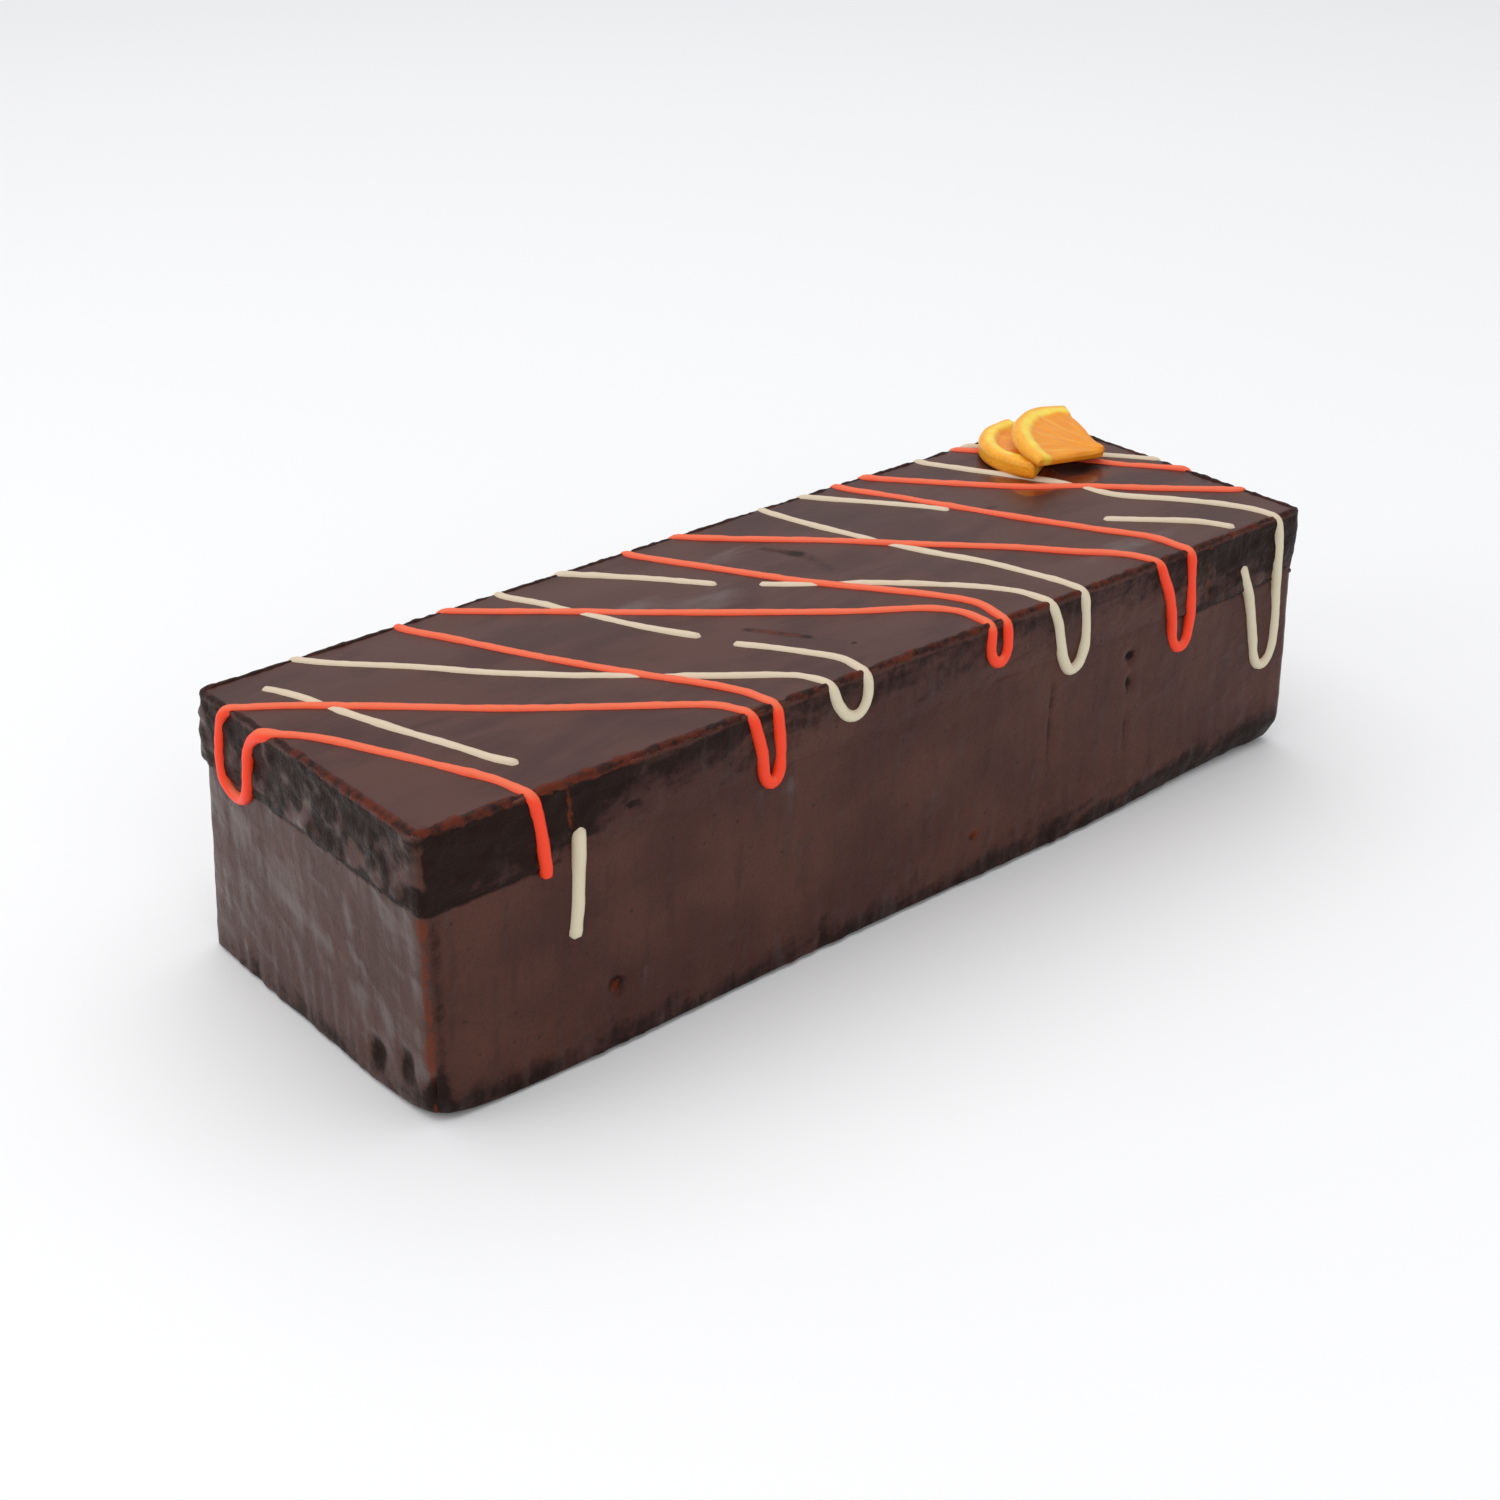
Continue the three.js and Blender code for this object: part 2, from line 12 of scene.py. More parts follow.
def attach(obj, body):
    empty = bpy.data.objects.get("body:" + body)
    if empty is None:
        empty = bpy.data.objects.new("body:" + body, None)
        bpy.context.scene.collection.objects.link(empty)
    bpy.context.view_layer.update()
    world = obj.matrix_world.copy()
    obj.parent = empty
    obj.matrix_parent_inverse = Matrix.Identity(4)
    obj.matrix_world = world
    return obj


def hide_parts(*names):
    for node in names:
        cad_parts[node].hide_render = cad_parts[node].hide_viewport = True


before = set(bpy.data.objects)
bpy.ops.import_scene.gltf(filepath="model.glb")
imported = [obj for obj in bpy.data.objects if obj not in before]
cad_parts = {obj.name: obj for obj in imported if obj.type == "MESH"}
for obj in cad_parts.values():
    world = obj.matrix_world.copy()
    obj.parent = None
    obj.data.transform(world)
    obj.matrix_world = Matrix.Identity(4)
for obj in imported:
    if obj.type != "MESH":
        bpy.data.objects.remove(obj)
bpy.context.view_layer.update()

MM = 0.001
BODY = "root"

# The bar, as the solids have it; CORNERS holds each upright corner's radius by its side along X and Y
LENGTH = 300
WIDTH = 100
HEIGHT = 75
SEAM = 55
HALF_LENGTH = LENGTH / 2
HALF_WIDTH = WIDTH / 2
OVERHANG = 0.8
CORNERS = {(-1, -1): 2.5, (1, -1): 2, (-1, 1): 3.5, (1, 1): 7}
SIDE_BOW = 0.9
EDGE_ROUNDING = 2
CORNER_STEPS = 5
BLOCK_BEVEL = 0.7
LOWER_GRAIN = 1.2
UPPER_GRAIN = 1.05
FOOT_WEAR = 5
WEAR_START = 50
CORNER_WEAR = 4.6
CORNER_LIFT = 1.5
CORNER_WEAR_REACH = 8

# How the soft cake has settled: how far its foot has spread at each side, most towards the left end,
# and how far the back of its top is drawn in and sunk there
FRONT_SPREAD = 3.5
BACK_SPREAD = 7.5
LEFT_SPREAD = (2.8, 1.2)
RIGHT_SPREAD = (3.2, 3.2)
SPREAD_REACH = 50
BACK_DRAWN_IN = 1.8
BACK_SAG = 1

# Icing strands: radius, and how deep their middle lies on the top and on the walls
ORANGE_STRAND = dict(radius=1.65, top_sink=0.75, wall_sink=0.35)
CREAM_STRAND = dict(radius=1.6, top_sink=0.8, wall_sink=0.4)
OVER_THE_EDGE = 0.5
CURVE_STEPS = 24
STRAND_STEP = 1.1
SMOOTHING = 5
TUBE_SIDES = 4
LONE_DRIP_LENGTH = 30
LONE_DRIP_SHARE = 1.13
LEG_LEAD = 9
LOOP_HALF = 4

# A strand dips under one that it crosses, and both press the rim down where they pass over it
CROSSING_DIP = 0.6
CROSSING_REACH = 2.3
RIM_DIP_REACH = 2.8

# The rim of the glaze: how far inside the bar's outline it runs, and the length of its steps
RIM_INSET = 1.3
RIM_STEP = 1

# Candied orange slices: start and end are degrees round the slice's tip, rise and lean degrees about
# X and Y, and the depths reach down from its top
FLAT_SLICE = dict(
    centre=(127, 25.8, HEIGHT + 5.7), radius=22.8, start=82, end=209,
    rise=0, lean=0, rind_depth=5.5, tip_depth=5.5, thicken=0, dip=1.6,
)
LEANING_SLICE = dict(
    centre=(134.5, 11.3, HEIGHT + 5.1), radius=28.7, start=70, end=178,
    rise=12, lean=6.3, rind_depth=3.4, tip_depth=3.8, thicken=3, dip=0.7,
)
RIND = 2.4
PITH = 2.8
SEGMENTS = 3.4
SLICE_TIP = 0.9
SLICE_COLUMNS = 40
SLICE_LEVELS = 8
SLICE_STEPS = 72
SECTION_DEPTH = 4
PEEL_ROUNDING = 1.5

# Studio, in metres: the floor, the air's brightness, and each light's place, size and power in watts
FLOOR_SIZE = 8
FLOOR_DROP = 0.0002
AIR_STRENGTH = 0.58
AIM = (0, 0, 0.04)
LIGHTS = {
    "ceiling": ((0, 0.3, 2), (3, 3), 27),
    "left window": ((-0.95, 0.35, 0.4), (0.5, 0.6), 1.6),
    "front window": ((-0.3, -1.1, 0.7), (0.6, 0.5), 1.6),
}

# The photograph's camera: place in metres, degrees down and from the bar's run, and focal length
CAMERA_PLACE = (-0.37593, -0.43115, 0.31966)
CAMERA_DOWN = 27.09
CAMERA_TURN = 50.02
CAMERA_LENS = 56.38


# Small tools of the bench


def deselect():
    if bpy.context.object and bpy.context.object.mode != "OBJECT":
        bpy.ops.object.mode_set(mode="OBJECT")
    bpy.ops.object.select_all(action="DESELECT")


def take(piece):
    """Makes a piece the only one selected, and the one that the next operator works on."""
    deselect()
    piece.select_set(True)
    bpy.context.view_layer.objects.active = piece


def settle(piece, name):
    """Names a new piece and puts its place and scale into its mesh."""
    piece.name = name
    piece.data.name = name
    bpy.ops.object.transform_apply(location=True, rotation=True, scale=True)
    return piece


def apply_modifier(piece, kind, **settings):
    take(piece)
    modifier = piece.modifiers.new(kind.title(), kind)
    for key, value in settings.items():
        setattr(modifier, key, value)
    bpy.ops.object.modifier_apply(modifier=modifier.name)


def bevel_edges(piece, test, width, segments):
    """Rounds the edges whose middle and run pass a test."""
    take(piece)
    bpy.ops.object.mode_set(mode="EDIT")
    bpy.ops.mesh.select_mode(type="EDGE")
    bpy.ops.mesh.select_all(action="DESELECT")
    bpy.ops.object.mode_set(mode="OBJECT")
    points = piece.data.vertices
    for edge in piece.data.edges:
        a, b = (points[i].co / MM for i in edge.vertices)
        edge.select = bool(test((a + b) / 2, b - a))
    bpy.ops.object.mode_set(mode="EDIT")
    bpy.ops.mesh.bevel(offset=width * MM, segments=segments, affect="EDGES")
    bpy.ops.object.mode_set(mode="OBJECT")


def points_of(piece):
    """A mesh's points in millimetres, and the way that the surface faces at each."""
    count = len(piece.data.vertices)
    places = np.empty(count * 3)
    faces = np.empty(count * 3)
    piece.data.vertices.foreach_get("co", places)
    piece.data.vertex_normals.foreach_get("vector", faces)
    return places.reshape(-1, 3) / MM, faces.reshape(-1, 3)


def put_points(piece, places):
    piece.data.vertices.foreach_set("co", (places * MM).ravel())
    piece.data.update()


def grain(places, size, seed=0.0):
    """Smooth noise of about -1 to 1 at each place; size is the length of its lumps along X, Y and Z."""
    scaled = places / np.array(size) + seed
    return np.array([noise.noise(Vector(place)) for place in scaled]) * 1.6


def fade(value, low, high):
    """0 below low, 1 above high and a smooth step between, as an array or a number."""
    share = np.clip((value - low) / (high - low), 0, 1)
    return share * share * (3 - 2 * share)


def between(first, second, share):
    """A value a share of the way from one to another."""
    return first + (second - first) * share


def rows(vectors):
    """Vectors as the rows of one array."""
    return np.array([tuple(vector) for vector in vectors])


def length_along(places):
    """How far along a line each of its places lies."""
    steps = np.linalg.norm(np.diff(places, axis=0), axis=1)
    return np.concatenate([[0], np.cumsum(steps)])


def distance_to(others, places):
    """How far each place is from the nearest of the others."""
    return np.array([np.hypot(*(others - place).T).min() for place in places])


def close_to(value, mark, reach):
    """1 where a value is at a mark, fading away smoothly to both sides of it."""
    return np.exp(-(((value - mark) / reach) ** 2))


def quarter_round(share, least=0):
    """How high a quarter circle stands at a share of the way in from its rim."""
    return np.sqrt(np.clip(1 - (1 - np.clip(share, 0, 1)) ** 2, least, 1))


def bump_at(places, centre, reach):
    """A smooth round bump of height 1, with its own reach along each axis."""
    away = ((places - np.array(centre)) / np.array(reach)) ** 2
    return np.exp(-away.sum(axis=1))


def carry(piece, name, values):
    """Keeps a value at each point of a mesh, for its paint to read."""
    piece.data.attributes.new(name, "FLOAT", "POINT").data.foreach_set("value", values)


def dress(piece, paint, replaced):
    """Gives a piece its paint, its body and the solids that it stands for."""
    take(piece)
    bpy.ops.object.shade_smooth()
    piece.data.materials.clear()
    piece.data.materials.append(paint.material)
    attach(piece, BODY)
    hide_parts(*replaced)


# Paint: procedural finishes


def tone(red, green, blue):
    """A colour as seen, from 0 to 255, for a shader's socket."""
    parts = (part / 255 for part in (red, green, blue))
    linear = [part / 12.92 if part <= 0.04045 else ((part + 0.055) / 1.055) ** 2.4 for part in parts]
    return (*linear, 1.0)


# Tones of the chocolate and of its marks
CHOCOLATE = tone(70, 36, 28)
CHOCOLATE_PALE = tone(84, 47, 36)
PORE_TONE = tone(40, 20, 16)
CREASE_TONE = tone(44, 22, 18)
# Painted sheen: a lighter tone for streaks on the top
TOP_SHEEN_TONE = tone(83, 49, 42)
SMUDGE_TONE = tone(60, 33, 28)
# Painted sheen: a greyer, lighter tone for the end faces
END_SHEEN_TONE = tone(80, 61, 55)
# Dark patches of the chocolate, also used as painted shade
DARK_AND_SHADE_TONE = tone(26, 14, 11)
# Painted reflection: a grey-blue sheen
SHEEN_TONE = tone(95, 79, 73)
# Painted shade in the pits
PIT_SHADE_TONE = tone(24, 11, 8)
# Painted glow: red-brown light on thin edges, in dents and under the leaning slice
PAINTED_GLOW_TONE = tone(108, 45, 18)
SYRUP_TONE = tone(120, 52, 14)
RIM_DARK = tone(34, 15, 10)
RIM_BROWN = tone(54, 25, 16)
# Painted glow: red-brown light where the rim is thin
RIM_GLOW_TONE = tone(98, 37, 17)

# Tones of the icing
# Painted sheen: the orange's crown is paler than its sides
ORANGE_CROWN_SHEEN = tone(240, 115, 77)
ORANGE_SIDE = tone(255, 56, 12)
# The cream's crown is greyer where it lies thin, and its sides are a lighter painted tone that stands in
# for light
CREAM_CROWN = tone(219, 199, 173)
CREAM_SIDE = tone(222, 212, 182)

# Tones of the fruit: the deeper and the paler of its flesh, pith and peel, its skins and the painted
# shade on its underside
FLESH_TONES = (tone(243, 146, 18), tone(250, 164, 28))
PITH_TONES = (tone(252, 210, 58), tone(255, 226, 88))
PEEL_TONES = (tone(248, 158, 22), tone(255, 180, 42))
SKIN_TONE = tone(255, 198, 80)
UNDER_SHADE_TONE = tone(214, 104, 22)


class Value:
    """A shader socket that adds Math nodes when it is used in an expression."""

    def __init__(self, paint, socket):
        self.paint = paint
        self.socket = socket

    def maths(self, operation, first, second=0.0):
        return self.paint.add("ShaderNodeMath", {"operation": operation}, {0: first, 1: second})

    def __add__(self, other):
        return self.maths("ADD", self, other)

    def __sub__(self, other):
        return self.maths("SUBTRACT", self, other)

    def __rsub__(self, other):
        return self.maths("SUBTRACT", other, self)

    def __mul__(self, other):
        return self.maths("MULTIPLY", self, other)

    def __truediv__(self, other):
        return self.maths("DIVIDE", self, other)

    __radd__ = __add__
    __rmul__ = __mul__

    def __abs__(self):
        return self.maths("ABSOLUTE", self)

    def step(self, low, high):
        """A smooth step of this value from 0 at low to 1 at high."""
        settings = {"interpolation_type": "SMOOTHSTEP"}
        return self.paint.add("ShaderNodeMapRange", settings, {0: self, 1: low, 2: high})


class Paint:
    """One procedural finish round a single shader."""

    def __init__(self, name, **fixed):
        self.material = bpy.data.materials.new(name)
        self.material.use_nodes = True
        self.tree = self.material.node_tree
        self.shader = self.tree.nodes["Principled BSDF"]
        for socket, value in fixed.items():
            self.shader.inputs[socket.replace("_", " ")].default_value = value

    def add(self, kind, settings, sockets, out=0):
        """A node of a kind, with its settings made first and then its sockets filled or linked."""
        node = self.tree.nodes.new(kind)
        for key, value in settings.items():
            setattr(node, key, value)
        for key, value in sockets.items():
            self.fill(node.inputs[key], value)
        return Value(self, node.outputs[out])

    def fill(self, socket, value):
        if isinstance(value, Value):
            self.tree.links.new(value.socket, socket)
        else:
            socket.default_value = value

    def place(self, size, tilt=(0, 0)):
        """Object coordinates in units of a size in millimetres, tilted by degrees about X and Y."""
        sockets = {"Vector": self.add("ShaderNodeTexCoord", {}, {}, "Object")}
        sockets["Scale"] = tuple(part * MM for part in size)
        sockets["Rotation"] = (math.radians(tilt[0]), math.radians(tilt[1]), 0)
        return self.add("ShaderNodeMapping", {"vector_type": "TEXTURE"}, sockets)

    def noise(self, size, detail=2.0, roughness=0.5, bend=0.0, tilt=(0, 0)):
        sockets = {"Vector": self.place(size, tilt), "Scale": 1.0, "Detail": detail}
        sockets.update({"Roughness": roughness, "Distortion": bend})
        return self.add("ShaderNodeTexNoise", {}, sockets)

    def cells(self, size):
        """How far a place is from the middle of its cell, in units of a size in millimetres."""
        return self.add("ShaderNodeTexVoronoi", {}, {"Vector": self.place(size), "Scale": 1.0})

    def attribute(self, name):
        return self.add("ShaderNodeAttribute", {"attribute_name": name}, {}, "Fac")

    def facing(self, axis):
        """How far the surface faces along an axis, from -1 to 1."""
        normal = self.add("ShaderNodeNewGeometry", {}, {}, "Normal")
        return self.add("ShaderNodeSeparateXYZ", {}, {0: normal}, axis)

    def mix(self, mask, first, second):
        settings = {"data_type": "RGBA"}
        return self.add("ShaderNodeMix", settings, {0: mask, 6: first, 7: second}, 2)

    def bump(self, height, depth, below=None):
        """Relief of a depth in millimetres, over relief that is already there."""
        sockets = {"Height": height, "Distance": depth * MM, "Strength": 1.0}
        if below:
            sockets["Normal"] = below
        return self.add("ShaderNodeBump", {}, sockets)

    def finish(self, **sockets):
        for socket, value in sockets.items():
            self.fill(self.shader.inputs[socket.replace("_", " ")], value)
        return self


def chocolate_paint(name, gloss):
    """Chocolate with the marks that its mesh carries from 0 to 1: dark patches with painted shade, a
    painted red-brown glow, a painted sheen and syrup.
    """
    paint = Paint(name, Specular_IOR_Level=0.07, Coat_Roughness=0.25)
    clouds = paint.noise((30, 26, 24), detail=3)
    smears = paint.noise((20, 20, 6.5), detail=3, roughness=0.5, bend=0.7, tilt=(22, -14))
    upright = paint.noise((3.6, 3.6, 30), detail=3, roughness=0.55, bend=0.3, tilt=(-8, 5))
    crumbs = paint.noise((2.1, 2.1, 2.1), detail=4, roughness=0.68)
    pores = paint.noise((0.8, 0.8, 0.8), detail=3, roughness=0.6)
    pits = 1 - paint.cells((6.5, 6.5, 6.5)).step(0.03, 0.11)
    strokes = paint.noise((30, 9, 9), detail=4, roughness=0.55, bend=0.8)
    top = paint.facing("Z").step(0.5, 0.9)
    end = abs(paint.facing("X")).step(0.5, 0.9)
    wall = 1 - top
    fine = crumbs - 0.5
    smeared = smears - 0.5
    drawn = upright - 0.5
    dark_and_shade = paint.attribute("dark_and_shade") + (smeared * 1.1 - drawn * 0.4) * wall
    dark_and_shade = (dark_and_shade + fine * 0.6).step(0.25, 0.8)
    painted_glow = (paint.attribute("painted_glow") * (1 + fine * 3)).step(0.4, 0.8)
    sheen = paint.attribute("sheen") + (smeared * (0.8 + 0.8 * end) + drawn * 1.3) * wall
    sheen = (sheen + (strokes - 0.5) * 1.3 * top + fine * 0.4).step(0.3, 0.95) * (1 - 0.6 * dark_and_shade)
    syrup = (paint.attribute("syrup") + (clouds - 0.5) * 0.4 + fine * 0.2).step(0.4, 0.62)
    colour = paint.mix(clouds.step(0.36, 0.66), CHOCOLATE, CHOCOLATE_PALE)
    colour = paint.mix(pores.step(0.5, 0.75) * wall * 0.4, colour, PORE_TONE)
    colour = paint.mix(upright.step(0.5, 0.7) * wall * 0.4, colour, CREASE_TONE)
    # Painted sheen: lighter streaks on the top
    colour = paint.mix(top * strokes.step(0.3, 0.7) * 0.8, colour, TOP_SHEEN_TONE)
    smudges = (strokes * 0.5 + clouds * 0.5).step(0.42, 0.54)
    colour = paint.mix((1 - smudges) * top * 0.4, colour, SMUDGE_TONE)
    # Painted sheen: the end faces greyer and lighter
    colour = paint.mix(end * wall * 0.5, colour, END_SHEEN_TONE)
    # Dark patches together with painted shade
    colour = paint.mix(dark_and_shade * 0.9, colour, DARK_AND_SHADE_TONE)
    # Painted reflection: grey-blue sheen patches
    colour = paint.mix(sheen * (0.6 - 0.2 * wall * (1 - end)), colour, SHEEN_TONE)
    # Painted shade in the pits
    colour = paint.mix(pits * wall * 0.6, colour, PIT_SHADE_TONE)
    # Painted red-brown glow
    colour = paint.mix(painted_glow * (0.3 + 0.8 * pores), colour, PAINTED_GLOW_TONE)
    colour = paint.mix(syrup * 0.9, colour, SYRUP_TONE)
    relief = paint.bump(smears * wall, 1.1)
    relief = paint.bump(upright * wall, 0.4, relief)
    relief = paint.bump(crumbs * (0.1 + 0.9 * wall), 0.65, relief)
    relief = paint.bump((pores - pits) * wall, 0.15, relief)
    rough = gloss + 0.1 * wall + 0.3 * fine * wall - 0.15 * syrup - 0.06 * dark_and_shade
    shine = (0.26 + 0.12 * top) * (1 - 0.9 * dark_and_shade) + 0.38 * sheen * (1 - painted_glow) + 0.6 * syrup
    return paint.finish(Base_Color=colour, Roughness=rough, Coat_Weight=shine, Normal=relief)


def rim_paint():
    """Rim of the glaze: a thin ragged ridge with a painted red-brown glow where it is thin."""
    paint = Paint("glaze rim", Specular_IOR_Level=0.14)
    patches = paint.noise((10, 10, 4), detail=3, roughness=0.6)
    ragged = paint.noise((1.8, 1.8, 1.8), detail=4, roughness=0.65)
    thin = (paint.attribute("painted_glow") + (patches - 0.5) * 1.4 + (ragged - 0.5) * 0.9).step(0.35, 0.95)
    colour = paint.mix(ragged.step(0.35, 0.65), RIM_DARK, RIM_BROWN)
    # Painted glow: red-brown light where the rim is thin
    colour = paint.mix(thin * 0.9, colour, RIM_GLOW_TONE)
    relief = paint.bump(ragged, 0.6)
    return paint.finish(Base_Color=colour, Roughness=0.3 + 0.25 * ragged, Normal=relief)


def icing_paint(name, crown, side):
    """Icing strand: soft gloss, with one tone along its crown and another at its sides, which paints
    light by the way the surface faces.
    """
    paint = Paint(name, Specular_IOR_Level=0.3)
    lumps = paint.noise((6, 6, 6), detail=2)
    fine = paint.noise((1.1, 1.1, 1.1), detail=2)
    top = paint.facing("Z").step(0.1, 0.95)
    # Painted light: the tone follows which way the surface faces
    colour = paint.mix(top * 0.75 + lumps * 0.25, side, crown)
    relief = paint.bump(lumps, 0.3)
    relief = paint.bump(fine, 0.05, relief)
    return paint.finish(Base_Color=colour, Roughness=0.34 + 0.2 * lumps, Normal=relief)


def orange_fruit_paint(name, radius):
    """Candied fruit: glossy peel, pale pith and amber flesh, told apart by how far out they lie."""
    paint = Paint(name, Specular_IOR_Level=0.3, Coat_Roughness=0.2)
    out = paint.attribute("out") * radius
    turn = paint.attribute("turn")
    spokes = paint.add("ShaderNodeCombineXYZ", {}, {0: out / 7, 1: turn * 16, 2: 0.0})
    fibre_sockets = {"Vector": spokes, "Scale": 1.0, "Detail": 3.0, "Roughness": 0.55}
    fibres = paint.add("ShaderNodeTexNoise", {}, fibre_sockets)
    wander = paint.noise((5, 5, 5), detail=2) - 0.5
    pores = paint.cells((0.9, 0.9, 0.9))
    flesh_edge = radius - RIND - PITH
    peel_edge = radius - RIND * 0.8
    segment = turn * SEGMENTS + wander * 0.3
    skin = abs(segment.maths("FRACT", segment) - 0.5)
    flesh = paint.mix(fibres.step(0.3, 0.75), *FLESH_TONES)
    flesh = paint.mix((skin * 2).step(0.88, 0.98) * 0.4, flesh, SKIN_TONE)
    pith = paint.mix(fibres.step(0.3, 0.7), *PITH_TONES)
    peel = paint.mix(pores.step(0.1, 0.6), *PEEL_TONES)
    colour = paint.mix((out + wander * 1.4).step(flesh_edge - 1, flesh_edge + 1.1), flesh, pith)
    colour = paint.mix((out + wander * 0.8).step(peel_edge - 1.1, peel_edge + 0.8), colour, peel)
    under = paint.attribute("under")
    # Painted shade on the slice's underside
    colour = paint.mix((under + wander * 0.4).step(0.4, 1.0) * 0.35, colour, UNDER_SHADE_TONE)
    relief = paint.bump(fibres, 0.08)
    relief = paint.bump(pores, 0.08, relief)
    sockets = dict(Base_Color=colour, Roughness=0.3 + 0.2 * fibres, Coat_Weight=0.1 + 0.2 * fibres)
    return paint.finish(Normal=relief, **sockets)


# The two layers of the bar


def rounded_block(name, low, high):
    """A block of cake at its size and place, each of its upright corners rounded by its own radius."""
    deselect()
    centre = [(a + b) / 2 * MM for a, b in zip(low, high)]
    size = [(b - a) * MM for a, b in zip(low, high)]
    bpy.ops.mesh.primitive_cube_add(size=1, location=centre, scale=size)
    piece = settle(bpy.context.object, name)
    for (x_side, y_side), radius in CORNERS.items():

        def at_corner(middle, run):
            return abs(run.z) > 1 and middle.x * x_side > 0 and middle.y * y_side > 0

        bevel_edges(piece, at_corner, radius, CORNER_STEPS)
    return piece


def soft_block(name, low, high, fineness):
    """One layer as an even mesh, with soft edges: the piece, its bowed points and their facing."""
    piece = rounded_block(name, low, high)
    apply_modifier(piece, "BEVEL", width=BLOCK_BEVEL * MM, segments=2, limit_method="ANGLE")
    apply_modifier(piece, "REMESH", mode="VOXEL", voxel_size=fineness * MM)
    places, faces = points_of(piece)
    bow(places)
    return piece, places, faces


def bow(places):
    """The bar's long sides swell a little towards their middle."""
    swell = SIDE_BOW * (1 - (places[:, 0] / HALF_LENGTH) ** 2)
    places[:, 1] += np.sign(places[:, 1]) * swell * fade(np.abs(places[:, 1]), 0, HALF_WIDTH)


def settled(places):
    """Where places on the freshly made cake lie once it has settled: wider at its foot, and with the
    back of its top drawn in and sunk."""
    x, y, z = places.T
    low = 1 - np.minimum(z / HEIGHT, 1)
    across = y / HALF_WIDTH
    to_back = (across + 1) / 2
    near_end = fade(np.abs(x), HALF_LENGTH - SPREAD_REACH, HALF_LENGTH)
    end = np.where(x < 0, -between(*LEFT_SPREAD, to_back), between(*RIGHT_SPREAD, to_back))
    front = FRONT_SPREAD * np.minimum(across, 0) * (1 - fade(x, -HALF_LENGTH, 0))
    leftward = 1 - fade(x, -HALF_LENGTH, 100)
    back = BACK_SPREAD * np.maximum(across, 0) * leftward
    back_edge = fade(y, 15, HALF_WIDTH) * leftward
    return np.column_stack([
        x + low * end * near_end,
        y + low * (front + back) - BACK_DRAWN_IN * back_edge,
        z - BACK_SAG * back_edge * fade(z, SEAM + 5, HEIGHT),
    ])


# Dents in the lower layer's wall: place, reach along X, Y and Z, and depth
DENTS = (
    ((-149.5, -49.5, 9), (4, 4, 5), 3.2),
    ((-149.5, -27, 9.5), (3, 3, 3.2), 1.6),
    ((-149.5, -39, 13), (3, 2.6, 4), 1.3),
    ((-98, -49.8, 17.2), (2.6, 3, 2.8), 1.9),
    ((-97, -49.8, 10), (1.6, 3, 1.4), 1.0),
    ((80, -49.8, 49), (1.8, 3, 1.8), 1.6),
    ((80, -49.8, 41.5), (1.3, 3, 2.0), 1.3),
    ((79.5, -49.8, 25), (0.8, 3, 9), 0.5),
    ((49, -49.8, 36), (0.8, 3, 15), 0.5),
    ((21, -49.8, 14), (1.3, 3, 1.3), 0.9),
)

# Marks on the chocolate: kind, place, reach along X, Y and Z, and strength
SPOTS = (
    ("dark_and_shade", (80, 8, 75), (7, 2, 2), 0.6),
    # Painted red-brown glow on the walls and in dents
    ("painted_glow", (110, -50, 60), (1.2, 3, 14), 0.8),
    ("painted_glow", (117, -50, 57), (1, 3, 11), 0.7),
    ("painted_glow", (-150, -11, 12), (3, 6, 7), 0.5),
    ("painted_glow", (21.6, -50, 15), (1.6, 3, 1.3), 2.2),
    ("painted_glow", (-150, -49, 14), (2, 2, 9), 0.9),
    ("painted_glow", (-98.3, -50, 16.5), (1.7, 3, 2), 1),
    ("painted_glow", (-109.5, -50, 68), (1.1, 3, 6), 0.9),
    ("painted_glow", (80, -50, 45), (1.2, 3, 7), 0.6),
    # Painted sheen on the top
    ("sheen", (-22, 8, 75), (16, 7, 2), 0.7),
    ("sheen", (2, 30, 75), (13, 6, 2), 0.6),
    ("sheen", (-40, 17, 75), (10, 5, 2), 0.6),
    ("sheen", (14, 9, 75), (10, 8, 2), 0.5),
    ("sheen", (90, -37, 75), (26, 5, 2), 0.7),
    # Painted shadow under the leaning slice
    ("dark_and_shade", (129, 12, 75), (12, 5, 2), 0.8),
    ("dark_and_shade", (142, -50, 5), (24, 5, 10), 0.45),
    ("dark_and_shade", (95, -50, 4), (60, 5, 10), 0.2),
    # Painted glow under the leaning slice
    ("painted_glow", (126, 7, 75), (9, 5, 2), 0.8),
    # Painted shade in the dents and creases
    ("dark_and_shade", (-98, -50, 17.2), (2.4, 3, 2.8), 1),
    ("dark_and_shade", (-149, -49, 7), (3, 3, 4), 2.2),
    ("dark_and_shade", (-150, -27, 9.5), (3, 2.3, 4), 1.5),
    ("dark_and_shade", (-150, -39, 12), (3, 2.3, 4.6), 1.4),
    ("dark_and_shade", (80, -50, 49), (1.5, 3, 1.5), 1.8),
    ("dark_and_shade", (80, -50, 41), (1.1, 3, 1.8), 1.8),
    ("dark_and_shade", (21, -50, 14), (1.2, 3, 1.2), 1.4),
    ("dark_and_shade", (49, -50, 35), (0.8, 3, 17), 0.8),
    ("dark_and_shade", (79.5, -50, 27), (0.8, 3, 12), 0.6),
    ("syrup", (108, 19, 75), (12, 10, 2), 1.0),
    ("syrup", (101, 9, 75), (5, 4, 2), 0.8),
    ("syrup", (118, 6, 75), (8, 4, 2), 0.95),
)

